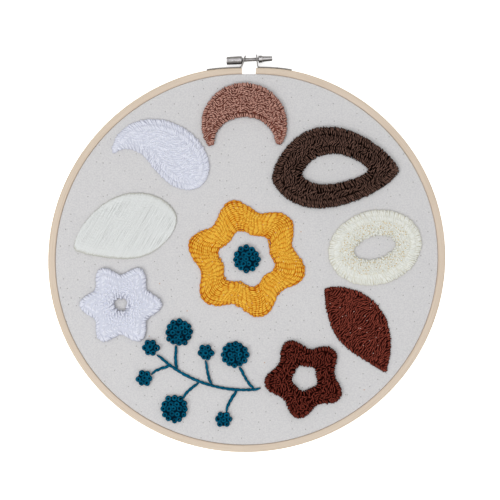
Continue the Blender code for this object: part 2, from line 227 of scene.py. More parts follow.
def swept(sections: Array, along: Array, looped: bool, tint: Array) -> Skin:
    """Surfaces through rows of closed sections, each section turning to the left about its path.

    A face joins side j and j + 1 of one section to the same sides of the next. An open path is closed
    by a flat face at each end.

    Args:
        sections: points, as (surfaces, stations, sides, 3).
        along: metres along the path, as (surfaces, stations), with one station more where looped.
        looped: whether the last section is joined to the first.
        tint: numbers that spread over (surfaces, stations, sides).

    Returns:
        The closed surfaces.
    """
    surfaces, stations, sides = sections.shape[:3]
    spans = stations if looped else stations - 1
    index = np.arange(surfaces * stations * sides).reshape(surfaces, stations, sides)
    here = index[:, :spans]
    there = np.roll(index, -1, axis=1)[:, :spans]
    quads = np.stack([here, np.roll(here, -1, 2), np.roll(there, -1, 2), there], axis=-1)
    low, high = np.broadcast_arrays(np.arange(sides) / sides, (np.arange(sides) + 1) / sides)
    start, end = along[:, :spans, None], along[:, 1 : spans + 1, None]
    shape = (surfaces, spans, sides)
    across = np.stack([np.broadcast_to(v, shape) for v in (low, high, high, low)], axis=-1)
    length = np.stack([np.broadcast_to(u, shape) for u in (start, start, end, end)], axis=-1)
    corners = [quads.ravel()]
    sizes = [np.full(surfaces * spans * sides, 4)]
    lay = [np.stack([length, across], axis=-1).reshape(-1, 2)]
    if not looped:
        for cap, place in ((index[:, 0, ::-1], along[:, 0]), (index[:, -1], along[:, -1])):
            corners.append(cap.ravel())
            sizes.append(np.full(surfaces, sides))
            ends = np.broadcast_to(place[:, None], (surfaces, sides))
            halves = np.full((surfaces, sides), 0.5)
            lay.append(np.stack([ends, halves], axis=-1).reshape(-1, 2))
    return Skin(
        sections.reshape(-1, 3),
        np.concatenate(corners),
        np.concatenate(sizes),
        np.concatenate(lay),
        np.broadcast_to(tint, sections.shape[:3]).ravel(),
    )


def strands(paths: Array, radii: Array, across: Array, sides: int, squash: float, tint: Array) -> Skin:
    """Round strands: at each station a ring of radius r round the path, r cos(a) aside and r sin(a) up.

    Args:
        paths: the strands' middles, as (strands, stations, 3).
        radii: their radii, spread over (strands, stations).
        across: a direction square to the path, spread over (strands, stations, 3).
        sides: how many sides a strand has.
        squash: a strand's thickness as a share of its width.
        tint: one number for each strand.

    Returns:
        The strands, closed at both ends.
    """
    ahead = unit(np.gradient(paths, axis=1))
    aside = unit(across - ahead * (across * ahead).sum(axis=-1, keepdims=True))
    lift = np.cross(ahead, aside)
    angles = round_angles(sides)
    ring = aside[:, :, None] * np.cos(angles)[:, None] + lift[:, :, None] * (squash * np.sin(angles))[:, None]
    radii = np.broadcast_to(radii, paths.shape[:2])
    sections = paths[:, :, None] + radii[:, :, None, None] * ring
    steps = np.linalg.norm(np.diff(paths, axis=1), axis=-1)
    along = np.concatenate([np.zeros((len(paths), 1)), np.cumsum(steps, axis=1)], axis=1)
    return swept(sections, along, False, np.asarray(tint)[:, None, None])


class Graph:
    """A material's nodes, each made with what feeds it."""

    def __init__(self, name: str) -> None:
        """Starts a material with its shader.

        Args:
            name: the material's name.
        """
        self.material = bpy.data.materials.new(name)
        self.material.use_nodes = True
        self.tree = self.material.node_tree
        self.shader = self.tree.nodes["Principled BSDF"]

    def add(self, kind: str, feeds: dict[str | int, object], **settings: object) -> bpy.types.Node:
        """Makes a node.

        Args:
            kind: the node's type, without its leading ShaderNode.
            feeds: for each input, by name or number, a socket or a fixed value.
            settings: the node's own settings.

        Returns:
            The node.
        """
        node = self.tree.nodes.new("ShaderNode" + kind)
        for key, value in settings.items():
            setattr(node, key, value)
        for key, value in feeds.items():
            if isinstance(value, Socket):
                self.tree.links.new(value, node.inputs[key])
            else:
                node.inputs[key].default_value = value
        return node

    def maths(self, operation: str, first: object, second: object = 0.0) -> Socket:
        """The result of one sum on two numbers."""
        return self.add("Math", {0: first, 1: second}, operation=operation).outputs[0]

    def times(self, first: object, second: object) -> Socket:
        """The product of two numbers."""
        return self.maths("MULTIPLY", first, second)

    def wave(self, value: object, pace: float = 2 * math.pi) -> Socket:
        """The sine of a number times a pace, which turns once for each whole number unless given."""
        return self.maths("SINE", self.times(value, pace))

    def spread(self, value: object, low: float, high: float, start: float = 0.0, end: float = 1.0) -> object:
        """A number carried from low..high to start..end, and held there."""
        feeds = {0: value, 1: low, 2: high, 3: start, 4: end}
        return self.add("MapRange", feeds, clamp=True).outputs[0]

    def blend(self, share: object, first: object, second: object) -> Socket:
        """Two colours mixed by a share of the second."""
        feeds = {0: share, 6: first, 7: second}
        return self.add("Mix", feeds, data_type="RGBA").outputs[2]

    def place(self) -> Socket:
        """The point shaded, in the object's own metres."""
        return self.add("TexCoord", {}).outputs["Object"]

    def mark(self, name: str) -> Socket:
        """A number that the mesh holds for each point."""
        return self.add("Attribute", {}, attribute_name=name).outputs["Fac"]

    def lay(self) -> tuple[Socket, Socket]:
        """Metres along the strand, and share of a turn round it."""
        uv = self.add("UVMap", {}, uv_map="lay").outputs[0]
        split = self.add("SeparateXYZ", {0: uv})
        return split.outputs[0], split.outputs[1]

    def noise(self, vector: object, scale: float, detail: float = 2.0) -> Socket:
        """Even noise from 0 to 1, at this many features to a metre."""
        feeds = {"Vector": vector, "Scale": scale, "Detail": detail}
        return self.add("TexNoise", feeds).outputs[0]

    def specks(self, point: object, cells: float, size: float, rarity: float) -> Socket:
        """Small spots, one in some cells of the cloth or yarn.

        Args:
            point: where it is shaded.
            cells: cells to a metre.
            size: a spot's radius, as a share of a cell.
            rarity: the share of cells without a spot.

        Returns:
            A socket that is 1 on a spot and 0 off it.
        """
        cell = self.add("TexVoronoi", {"Vector": point, "Scale": cells}, voronoi_dimensions="2D")
        chosen = self.maths("GREATER_THAN", cell.outputs["Color"], rarity)
        return self.times(self.spread(cell.outputs["Distance"], size, size / 2), chosen)

    def bump(self, height: object, distance: float, strength: float = 1.0) -> None:
        """Raises the surface by height times distance."""
        feeds = {"Height": height, "Distance": distance, "Strength": strength}
        self.tree.links.new(self.add("Bump", feeds).outputs[0], self.shader.inputs["Normal"])

    def finish(self, colour: object, **values: float) -> bpy.types.Material:
        """Feeds the shader.

        Args:
            colour: the socket for its colour.
            values: fixed numbers for its other inputs, spaces in their names written as underlines.

        Returns:
            The material.
        """
        self.tree.links.new(colour, self.shader.inputs["Base Color"])
        for name, value in values.items():
            self.shader.inputs[name.replace("_", " ")].default_value = value
        return self.material


def light_of(colour: Colour) -> tuple[float, float, float, float]:
    """A display colour from 0 to 255 as light."""
    share = np.array(colour) / 255
    light = np.where(share <= 0.04045, share / 12.92, ((share + 0.055) / 1.055) ** 2.4)
    return (*(float(channel) for channel in np.clip(light, 0, 1)), 1.0)


@dataclass(frozen=True)
class WoodFinish:
    """Bare sanded beech: fine streaks along the ring, and a slightly darker inner and outer edge."""

    slot: Slot = Slot.WOOD
    face: Colour = (224, 207, 188)
    outer: Colour = (212, 196, 171)
    inner: Colour = (208, 188, 169)
    streak: Colour = (196, 174, 148)
    pace: float = 22.0
    fineness: tuple[float, float, float] = (1.0, 16.0, 26.0)

    def material(self) -> bpy.types.Material:
        """Streaks are noise drawn out along the ring, by its own map and marks."""
        graph = Graph("beech")
        along, _ = graph.lay()
        across, up = graph.mark("tint"), graph.mark("rise")
        drawn = graph.add("CombineXYZ", {0: graph.times(along, self.pace), 1: across, 2: up}).outputs[0]
        fine = graph.add("Mapping", {"Vector": drawn, "Scale": self.fineness}).outputs[0]
        grain = graph.noise(fine, 1.0, 5.0)
        broad = graph.noise(drawn, 1.6, 2.0)
        edge = graph.blend(graph.spread(across, 0.0, 0.22), light_of(self.outer), light_of(self.face))
        wood = graph.blend(graph.spread(across, 0.80, 1.0), edge, light_of(self.inner))
        streaks = graph.times(graph.spread(grain, 0.46, 0.66), 0.42)
        streaked = graph.blend(streaks, wood, light_of(self.streak))
        toned = graph.blend(graph.spread(broad, 0.35, 0.75, 0.0, 0.20), streaked, light_of(self.streak))
        graph.bump(grain, 0.0002, 0.5)
        return graph.finish(toned, Roughness=0.52)


@dataclass(frozen=True)
class CanvasFinish:
    """Natural cotton canvas: a plain weave, soft mottling, grey flecks and a few tan ones.

    Small and rare give two kinds of fleck: cells to a metre, radius in a cell, share of cells without.
    """

    slot: Slot = Slot.CANVAS
    cloth: Colour = (221, 220, 220)
    shade: Colour = (207, 206, 208)
    fleck: Colour = (140, 136, 134)
    husk: Colour = (196, 152, 118)
    thread: float = 0.00055
    mottle: float = 900.0
    small: tuple[float, float, float] = (150.0, 0.085, 0.62)
    rare: tuple[float, float, float] = (46.0, 0.030, 0.80)

    def material(self) -> bpy.types.Material:
        """The weave is the product of a wave along each thread; flecks are small cells of the cloth."""
        graph = Graph("canvas")
        point = graph.place()
        split = graph.add("SeparateXYZ", {0: point})
        weave = graph.times(*(graph.wave(split.outputs[axis], math.pi / self.thread) for axis in (0, 1)))
        mottle = graph.noise(point, self.mottle, 3.0)
        base = graph.blend(graph.spread(mottle, 0.35, 0.70), light_of(self.cloth), light_of(self.shade))
        small = graph.specks(point, *self.small)
        specked = graph.blend(graph.times(small, 0.75), base, light_of(self.fleck))
        rare = graph.specks(point, *self.rare)
        husked = graph.blend(graph.times(rare, 0.8), specked, light_of(self.husk))
        uneven = graph.maths("ADD", weave, graph.times(mottle, 1.5))
        graph.bump(uneven, 0.00006, 0.8)
        return graph.finish(husked, Roughness=0.95, Sheen_Weight=0.1, Specular_IOR_Level=0.25)


@dataclass(frozen=True)
class SteelFinish:
    """Nickel plated steel, a little dulled by handling, with painted shade down its sides and a painted
    highlight along its top.
    """

    slot: Slot = Slot.METAL
    plate: Colour = (208, 205, 206)
    dull: Colour = (146, 142, 139)
    # the painted shade colour that the metal's sides are darkened towards
    shade: Colour = (46, 38, 33)
    clouds: float = 240.0
    scratches: float = 2600.0

    def material(self) -> bpy.types.Material:
        """The mark named tint tells how far up the metal faces: a painted highlight of bright plate on top,
        painted shade down the sides; soft clouds dull it, and a bump is fine.
        """
        graph = Graph("nickel")
        point = graph.place()
        up = graph.mark("tint")
        cloud = graph.noise(point, self.clouds)
        dulled = graph.spread(cloud, 0.45, 0.80, 0.0, 0.5)
        # painted highlight: only the face turned straight up takes the bright plate, less the dull clouds
        top_highlight = graph.maths("SUBTRACT", graph.spread(up, 0.940, 0.995), dulled)
        metal = graph.blend(graph.spread(top_highlight, 0.0, 1.0), light_of(self.dull), light_of(self.plate))
        # painted shade: the metal goes towards the shade colour the further down its sides it faces
        colour = graph.blend(graph.spread(up, 0.55, 0.95, 0.75, 0.0), metal, light_of(self.shade))
        rough = graph.spread(cloud, 0.3, 0.8, 0.30, 0.42)
        graph.tree.links.new(rough, graph.shader.inputs["Roughness"])
        graph.bump(graph.noise(point, self.scratches), 0.000008, 0.4)
        return graph.finish(colour, Metallic=1.0)


@dataclass(frozen=True)
class YarnFinish:
    """Yarn: painted shade low between the stitches, its body colour on their sides, a painted highlight on
    their crowns, plied and fuzzy.
    """

    name: str
    slot: Slot
    # colours: painted shade low in the pile, the yarn's body, and the painted highlight on the crowns
    recess_shade: Colour
    body: Colour
    light: Colour
    roughness: float = 0.95
    specular: float = 0.05
    turn: float = 0.0024
    plies: int = 2
    twist: float = 0.00012
    fibres: float = 2300.0
    # crown: where the painted highlight runs round a strand; depth: the rise over which painted shade fades
    # out
    crown: tuple[float, float] = (0.60, 1.0)
    depth: tuple[float, float] = (0.34, 0.74)
    speck: Colour | None = None
    speck_cells: float = 300.0
    speck_size: float = 0.14
    speck_rarity: float = 0.78
    speck_inside: bool = False

    def material(self) -> bpy.types.Material:
        """The crown's painted highlight is the sine of the share of a turn round the strand, and each strand
        has its tint.
        """
        graph = Graph(self.name)
        point = graph.place()
        rise, tint = graph.mark("rise"), graph.mark("tint")
        along, around = graph.lay()
        recess_shade, body, light = (light_of(c) for c in (self.recess_shade, self.body, self.light))
        fibre = graph.noise(point, self.fibres, 3.0)
        shade = graph.maths("FRACT", graph.times(tint, 2.0))
        shaded = graph.spread(shade, 0.0, 1.0, 0.55, 1.0)
        # painted highlight on the top of each strand, stronger or weaker by its tint
        crown = graph.times(graph.spread(graph.wave(around), *self.crown), shaded)
        lit = graph.blend(crown, body, light)
        turns = graph.maths("DIVIDE", along, self.turn)
        ply = graph.wave(graph.maths("ADD", turns, graph.times(around, self.plies)))
        # the painted highlight dims to the body colour in the ply's grooves
        grooved = graph.blend(graph.spread(ply, -1.0, -0.2, 0.25, 0.0), lit, body)
        fuzzy = graph.blend(graph.spread(fibre, 0.35, 0.75, 0.0, 0.25), grooved, body)
        # painted shade: low in the pile the colour goes to the painted shade colour
        colour = graph.blend(graph.spread(rise, *self.depth, 1.0, 0.0), fuzzy, recess_shade)
        if self.speck is not None:
            spot = graph.specks(point, self.speck_cells, self.speck_size, self.speck_rarity)
            if self.speck_inside:
                spot = graph.times(spot, graph.maths("GREATER_THAN", tint, 0.5))
            colour = graph.blend(graph.times(spot, 0.85), colour, light_of(self.speck))
        graph.bump(graph.maths("ADD", ply, graph.times(fibre, 1.4)), self.twist, 0.7)
        return graph.finish(colour, Roughness=self.roughness, Specular_IOR_Level=self.specular)


Finish = WoodFinish | CanvasFinish | SteelFinish | YarnFinish


def set_piece(
    name: str,
    skin: Skin,
    node: str,
    finish: Finish,
    floor: float = 0.0,
    height: float = RING_DEPTH,
    sharp: float = 60,
) -> bpy.types.Object:
    """Makes a piece, dresses it and sets it in the place of its solid.

    Args:
        name: the piece's name.
        skin: its surface.
        node: the solid that it stands for.
        finish: what it is made of.
        floor: the height at which its mark named rise is 0.
        height: how far above that it reaches 1.
        sharp: faces that meet at more than these degrees keep a sharp edge.

    Returns:
        The piece.
    """
    piece = skin.to_object(name, floor, height, sharp)
    piece.data.materials.append(material_of(finish))
    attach(piece, BODY)
    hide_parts(node)
    log.info("%s: %d triangles", name, skin.triangles)
    return piece


@cache
def material_of(finish: Finish) -> bpy.types.Material:
    """The finish's material, made once."""
    return finish.material()


@dataclass(frozen=True)
class HoopShape:
    """The hoop's outline: an oval, pulled flatter round the top where the clamp draws it together."""

    long: float = 0.3181
    short: float = 0.3091
    turn: float = math.radians(10)
    middle_y: float = -0.00467
    outer_dip: float = 0.0019
    inner_dip: float = 0.0008
    dip_spread: float = math.radians(10)

    def outline(self, inset: Array, height: Array, angles: Array) -> Array:
        """Points on the outline drawn in by inset.

        The radius is that of an oval at the angle, less a bell-shaped dip about the top.

        Args:
            inset: how far inside the hoop's outer side.
            height: the points' height.
            angles: their angles about the middle. All three spread over one shape.

        Returns:
            The points, with a last axis of 3.
        """
        inset, height, angles = np.broadcast_arrays(inset, height, angles)
        long_half = self.long / 2 - inset
        short_half = self.short / 2 - inset
        turned_by = angles - self.turn
        oval = np.hypot(short_half * np.cos(turned_by), long_half * np.sin(turned_by))
        from_top = np.angle(np.exp(1j * (angles - math.pi / 2)))
        dip = self.outer_dip + (self.inner_dip - self.outer_dip) * np.clip(inset / RING_WIDTH, 0, 1)
        radius = long_half * short_half / oval - dip * np.exp(-((from_top / self.dip_spread) ** 2))
        return np.stack([radius * np.cos(angles), radius * np.sin(angles) + self.middle_y, height], axis=-1)

    def angle_at(self, x: Array) -> Array:
        """The angle, near the top, at which the outline passes over x."""
        return np.arccos(np.asarray(x) / (self.short / 2))


HOOP = HoopShape()


@dataclass(frozen=True)
class WoodRing:
    """A ring of beech with rounded edges, whole or split at the top."""

    node: str
    inset: float
    width: float
    top: float
    corner: float = 0.0008
    split: tuple[float, float] | None = None
    stations: int = 420
    corner_steps: int = 6

    def section(self) -> tuple[Array, Array]:
        """The section's insets and heights: straight sides and a quarter circle at each corner."""
        quarter = np.linspace(0, math.pi / 2, self.corner_steps)
        angles = np.concatenate([quarter + k * math.pi / 2 for k in range(4)])
        out_sign = np.repeat([1, 1, -1, -1], self.corner_steps)
        up_sign = np.repeat([1, -1, -1, 1], self.corner_steps)
        out = out_sign * (self.width / 2 - self.corner) + self.corner * np.sin(angles)
        up = up_sign * (self.top / 2 - self.corner) + self.corner * np.cos(angles)
        return self.inset + self.width / 2 - out, self.top / 2 + up

    def angles(self) -> Array:
        """Angles once round the ring, from one side of its split to the other."""
        if self.split is None:
            return round_angles(self.stations)
        start, end = HOOP.angle_at(self.split)
        return np.linspace(start, end + 2 * math.pi, self.stations)

    def build(self) -> None:
        """Sweeps the section round the hoop and dresses it."""
        insets, heights = self.section()
        angles = self.angles()
        sections = HOOP.outline(insets, heights, angles[:, None])
        looped = self.split is None
        turns = np.append(angles, 2 * math.pi) if looped else angles
        across = (insets - self.inset) / self.width
        skin = swept(sections[None], turns[None] * HOOP.short / 2, looped, across)
        set_piece(self.node + "_beech", skin, self.node, WoodFinish(), sharp=50)


@dataclass(frozen=True)
class Canvas:
    """The cloth: drawn flat over the inner ring, its rim turned down between the rings."""

    node: str = "cloth"
    hem: float = 0.0008
    corner: float = 0.0005
    snug: float = 0.0001
    steps: int = 300
    rings: int = 70
    ripple: float = 0.00010
    pucker: float = 0.00016
    pucker_inset: float = 0.0095
    pucker_width: float = 0.004
    tucks: int = 61
    calm_inset: float = 0.009
    calm_width: float = 0.012
    flat_size: tuple[float, float] = (0.322, 0.313)
    flat_area: float = 0.0792

    def section(self) -> tuple[Array, Array]:
        """Insets and heights from the middle of the underside, round the hem, to the middle of the top."""
        outside = RING_WIDTH + self.snug
        inside = RING_WIDTH + GAP + CLOTH_THICK
        under = CLOTH_TOP - CLOTH_THICK
        reach = HOOP.short / 2 - 0.0006
        turn = np.linspace(0, math.pi / 2, 5)
        # spacing grows finer towards the rim
        spread = np.linspace(0, 1, self.rings) ** 0.8
        below = reach + (inside + self.corner - reach) * spread
        above = (outside + self.corner + (reach - outside - self.corner) * (1 - spread[::-1]))
        down = np.linspace(under - self.corner, self.hem, 6)
        up = np.linspace(self.hem, CLOTH_TOP - self.corner, 6)
        insets = [below[:-1], inside + self.corner * (1 - np.sin(turn)), np.full(6, inside)[1:]]
        insets += [np.full(6, outside), outside + self.corner * (1 - np.cos(turn))[1:], above[1:]]
        heights = [np.full(len(below) - 1, under), under - self.corner * (1 - np.cos(turn)), down[1:]]
        heights += [up, CLOTH_TOP - self.corner * (1 - np.sin(turn))[1:], np.full(len(above) - 1, CLOTH_TOP)]
        return np.concatenate(insets), np.concatenate(heights)

    def waves(self, points: Array, insets: Array) -> Array:
        """How far the cloth dips: broad folds of tension that fade towards the rim, where it puckers.

        Args:
            points: the cloth's points.
            insets: how far inside the hoop's outer side they are.

        Returns:
            Heights to add, none of them over nought.
        """
        angles = np.arctan2(points[..., 1], points[..., 0])
        spots = points[..., 0] * 38 + np.sin(points[..., 1] * 61)
        broad = 0.5 + 0.5 * np.sin(spots) * np.sin(points[..., 1] * 47 + 1.3)
        inner = np.clip((insets - self.calm_inset) / self.calm_width, 0, 1)
        edge = np.exp(-(((insets - self.pucker_inset) / self.pucker_width) ** 2)) * (insets > RING_WIDTH)
        tucks = 0.5 + 0.5 * np.sin(self.tucks * angles + 2 * np.sin(7 * angles))
        return -(self.ripple * broad * inner + self.pucker * tucks * edge)

    def build(self) -> None:
        insets, heights = self.section()
        angles = round_angles(self.steps)
        sections = HOOP.outline(insets[:, None], heights[:, None], angles)
        level = (heights > CLOTH_TOP - CLOTH_THICK * 1.5)[:, None]
        sections[..., 2] += np.where(level, self.waves(sections, insets[:, None]), 0)
        along = np.concatenate([[0], np.cumsum(np.hypot(np.diff(insets), np.diff(heights)))])
        skin = swept(sections[None], along[None], False, np.zeros(1))
        piece = set_piece("canvas_sheet", skin, self.node, CanvasFinish())


@dataclass(frozen=True)
class PlatePoint:
    """A place on a clasp seen from the front: x, y and half the plate's width there."""

    x: float
    y: float
    half_width: float


@dataclass(frozen=True)
class ScrewAxis:
    """The line that the screw, the nut and the holes in the ears share."""

    start: tuple[float, float, float] = (-0.0163, 0.1591, RING_DEPTH / 2)
    tilt: float = math.radians(3)
    shank: float = 0.0015

    def around(self, along: Array, radius: Array, angles: Array) -> Array:
        """Points round the axis.

        Args:
            along: how far along the axis.
            radius: how far from it.
            angles: the angle about it. All three spread over one shape.

        Returns:
            The points, with a last axis of 3.
        """
        along, radius, angles = np.broadcast_arrays(along, radius, angles)
        axis = np.array([math.cos(self.tilt), math.sin(self.tilt), 0.0])
        aside = np.array([-math.sin(self.tilt), math.cos(self.tilt), 0.0])
        start = np.array(self.start) + np.array([0, HOOP.middle_y, 0])
        ring = aside * np.cos(angles)[..., None] + np.array([0, 0, 1.0]) * np.sin(angles)[..., None]
        return start + axis * along[..., None] + ring * radius[..., None]

    def along_at(self, x: float) -> float:
        """How far along the axis it passes x."""
        return (x - self.start[0]) / math.cos(self.tilt)


AXIS = ScrewAxis()

PLATE_HALF_WIDTH = 0.004
LEFT_EAR = (
    PlatePoint(-0.00400, 0.1548, PLATE_HALF_WIDTH),
    PlatePoint(-0.00315, 0.1572, PLATE_HALF_WIDTH),
    PlatePoint(-0.00170, 0.1612, PLATE_HALF_WIDTH),
    PlatePoint(-0.00100, 0.1631, 0.0024),
)
RIGHT_EAR = (
    PlatePoint(0.00865, 0.1548, PLATE_HALF_WIDTH),
    PlatePoint(0.00850, 0.1572, PLATE_HALF_WIDTH),
    PlatePoint(0.00812, 0.1618, PLATE_HALF_WIDTH),
    PlatePoint(0.00795, 0.1640, 0.0024),
)


@dataclass(frozen=True)
class Clasp:
    """A thin plate that follows the ring, then turns up into an ear with a hole for the screw."""

    node: str
    reach: tuple[float, float]
    ear: tuple[PlatePoint, ...]
    thick: float = 0.0009
    half_width: float = PLATE_HALF_WIDTH
    bevel: float = 0.00016
    run_steps: int = 14
    smoothing: int = 3
    # how far up the whole plate counts as facing, which sets its share of the metal's painted highlight and
    # shade
    rise: float = 0.93
    drill_reach: float = 0.004
    drill_sides: int = 32

    def path(self) -> Array:
        """x, y and half width along the plate, its corners cut to quarter points a few times over."""
        x = np.linspace(*self.reach, self.run_steps)
        run = HOOP.outline(-(GAP + self.thick / 2), 0.0, HOOP.angle_at(x))
        run[:, 2] = self.half_width
        ear = [(point.x, point.y + HOOP.middle_y, point.half_width) for point in self.ear]
        points = np.concatenate([run, ear])
        for _ in range(self.smoothing):
            near = points[:-1] * 0.75 + points[1:] * 0.25
            far = points[:-1] * 0.25 + points[1:] * 0.75
            middle = np.stack([near, far], axis=1).reshape(-1, 3)
            points = np.concatenate([points[:1], middle, points[-1:]])
        return points

    def skin(self) -> Skin:
        """The plate's rounded section at each point of its path."""
        path = self.path()
        ahead = unit(np.gradient(path[:, :2], axis=0))
        aside = left_of(ahead)
        half, edge, bevel = self.thick / 2, path[:, 2], self.bevel
        out = np.array([half, half, half - bevel, -half + bevel, -half, -half, -half + bevel, half - bevel])
        up = np.array([-1, 1, 1, 1, 1, -1, -1, -1.0])
        drop = np.array([1, 1, 0, 0, 1, 1, 0, 0]) * bevel
        # section turns from the left side upwards
        rise = up * (edge[:, None] - drop)
        points = path[:, None, :2] + aside[:, None] * out[:, None]
        sections = np.concatenate([points, (RING_DEPTH / 2 + rise)[..., None]], axis=-1)
        return swept(sections[None], walk(path[:, :2])[None], False, np.full(1, self.rise))

    def build(self) -> None:
        """Makes the plate and drills its ear."""
        piece = set_piece(self.node + "_plate", self.skin(), self.node, SteelFinish(), sharp=40)
        middle = AXIS.along_at(self.ear[1].x)
        reach = np.array([[middle - self.drill_reach], [middle + self.drill_reach]])
        points = AXIS.around(reach, AXIS.shank + 2 * GAP, round_angles(self.drill_sides))
        # the drill's tint of nought gives the hole's wall the metal's full painted shade
        drill = swept(points[None], np.array([[0, 2 * self.drill_reach]]), False, np.zeros(1))
        cutter = drill.to_object(self.node + "_drill", 0.0, 1.0, 60)
        hole = piece.modifiers.new("hole", "BOOLEAN")
        hole.operation = "DIFFERENCE"
        hole.solver = "EXACT"
        hole.object = cutter
        shape = bpy.data.meshes.new_from_object(piece.evaluated_get(bpy.context.evaluated_depsgraph_get()))
        piece.modifiers.clear()
        piece.data = shape
        bpy.data.objects.remove(cutter, do_unlink=True)


@dataclass(frozen=True)
class ThumbScrew:
    """The screw: a knurled head, and a threaded shank."""

    node: str = "clamp_screw"
    profile: tuple[tuple[float, float], ...] = (
        (0.0000, 0.0023),
        (0.0002, 0.0027),
        (0.0006, 0.0032),
        (0.0119, 0.0033),
        (0.0126, 0.0029),
        (0.0129, 0.0024),
        (0.0131, AXIS.shank),
        (0.0358, AXIS.shank),
        (0.0362, 0.0009),
    )
    knurled: tuple[float, float] = (0.0007, 0.0117)
    knurls: int = 18
    knurl_depth: float = 0.00034
    knurl_fade: float = 0.0004
    head_end: float = 0.0132
    head_steps: int = 116
    shank_start: float = 0.0130
    shank_steps: int = 290
    thread_start: float = 0.0136
    thread_pitch: float = 0.0007
    thread_depth: float = 0.00016
    sides: int = 120
    shank_sides: int = 24

    def radius(self, along: Array, angles: Array) -> Array:
        """The profile, less crossed helical grooves on the head and one helical thread on the shank.

        Args:
            along: how far along the screw.
            angles: the angle about it.

        Returns:
            The radius there.
        """
        plain = np.interp(along, *np.array(self.profile).T)
        start, end = self.knurled
        around = math.pi * 2 * plain.max() / self.knurls
        slope = 2 * math.pi * along / around
        crossed = sum(np.abs(np.sin((self.knurls * angles + way * slope) / 2)) for way in (1, -1))
        fade = self.knurl_fade
        on_head = np.clip((along - start) / fade, 0, 1) * np.clip((end - along) / fade, 0, 1)
        knurl = self.knurl_depth * (1 - crossed / 2) * on_head
        on_shank = np.clip((along - self.thread_start) / self.thread_pitch, 0, 1)
        turn = 2 * math.pi * along / self.thread_pitch - angles
        thread = self.thread_depth * (0.5 + 0.5 * np.cos(turn)) * on_shank
        return plain - knurl - thread

    def build(self) -> None:
        """The head and the shank, each swept along the axis, as one piece."""
        skins = []
        face = np.linspace(0, self.knurled[0], 6)
        head = np.concatenate([face, np.linspace(0.0008, self.head_end, self.head_steps)])
        shank = np.linspace(self.shank_start, self.profile[-1][0], self.shank_steps)
        for stations, sides in ((head, self.sides), (shank, self.shank_sides)):
            angles = round_angles(sides)
            radius = self.radius(stations[:, None], angles)
            sections = AXIS.around(stations[:, None], radius, angles)
            # tint is how far up each side faces, for the metal's painted highlight and shade
            skins.append(swept(sections[None], stations[None], False, 0.5 + 0.5 * np.sin(angles)))
        set_piece("clamp_screw_steel", Skin.joined(skins), self.node, SteelFinish(), sharp=35)


@dataclass(frozen=True)
class Nut:
    """The nut: a collar and a tapered barrel round the shank."""

    node: str = "clamp_nut"
    profile: tuple[tuple[float, float], ...] = (
        (0.0258, 0.0027),
        (0.0260, 0.0029),
        (0.0285, 0.0029),
        (0.0288, 0.0027),
        (0.0290, 0.0024),
        (0.0299, 0.0023),
        (0.0300, 0.0022),
        (0.0364, 0.00188),
        (0.0368, 0.00178),
        (0.0369, 0.00170),
    )
    steps: int = 72
    collar: float = 0.0029
    bore_gap: float = 0.4

    def build(self) -> None:
        """Turns the closed profile once round the axis, its bore clear of the shank."""
        along, radius = np.array(self.profile[::-1]).T
        bore = AXIS.shank + GAP * self.bore_gap
        along = np.concatenate([along[:1], along, along[-1:]])
        radius = np.concatenate([[bore], radius, [bore]])
        angles = round_angles(self.steps)
        sections = AXIS.around(along, radius, angles[:, None])
        turns = np.append(angles, 2 * math.pi) * self.collar
        # tint is how far up each side faces, for the metal's painted highlight and shade
        skin = swept(sections[None], turns[None], True, (0.5 + 0.5 * np.sin(angles))[:, None])
        set_piece("clamp_nut_steel", skin, self.node, SteelFinish(), sharp=30)


@dataclass(frozen=True)
class Place:
    """Where a motif sits: its angle round the hoop, its distance from the middle, and its lean."""

    angle: float
    distance: float
    tilt: float

    def put(self, points: Array) -> Array:
        """Moves points of the motif's own frame, where +Y looks outwards, into the hoop's.

        Args:
            points: plan points.

        Returns:
            The points in their place.
        """
        angle = math.radians(self.angle)
        turn = angle - math.pi / 2 + math.radians(self.tilt)
        middle = (self.distance * math.cos(angle), self.distance * math.sin(angle) + HOOP.middle_y)
        return points @ spin_of(turn) + np.array(middle)


@dataclass(frozen=True)
class Lobed:
    """A closed outline with round lobes: its reach swells and shrinks by depth, lobes times a turn."""

    radius: float
    lobes: int
    depth: float
    stretch: float

    def outline(self, turns: Array) -> Array:
        """Points at these shares of a turn."""
        angles = turns * 2 * math.pi
        quarter = math.pi / 2 * (self.lobes % 2)
        reach = self.radius * (1 + self.depth * np.cos(self.lobes * angles + quarter))
        return np.stack([reach * np.cos(angles), self.stretch * reach * np.sin(angles)], axis=-1)


@dataclass(frozen=True)
class Leaf:
    """A closed leaf, wider below its middle and pointed at both ends, its rib bent to one side."""

    length: float
    width: float
    bend: float
    point: float = 1.35
    belly: float = 0.22

    def outline(self, turns: Array) -> Array:
        """Points at these shares of a turn."""
        angles = turns * 2 * math.pi
        across = np.sign(np.cos(angles)) * np.abs(np.cos(angles)) ** self.point
        along = np.sin(angles)
        x = self.width / 2 * across * (1 - self.belly * along) + self.bend * (along**2 - 0.5)
        return np.stack([x, self.length / 2 * along], axis=-1)


def walked(length: float, headings: Array) -> Array:
    """Points a steady step apart, each step in its own heading, moved so that their box is centred.

    Args:
        length: the length of the whole walk.
        headings: the heading at each point, measured to the left from +Y.

    Returns:
        Plan points.
    """
    middles = (headings[1:] + headings[:-1]) / 2
    step = length / len(middles)
    moves = step * np.stack([-np.sin(middles), np.cos(middles)], axis=1)
    points = np.vstack([[0.0, 0.0], np.cumsum(moves, axis=0)])
    return points - (points.max(axis=0) + points.min(axis=0)) / 2


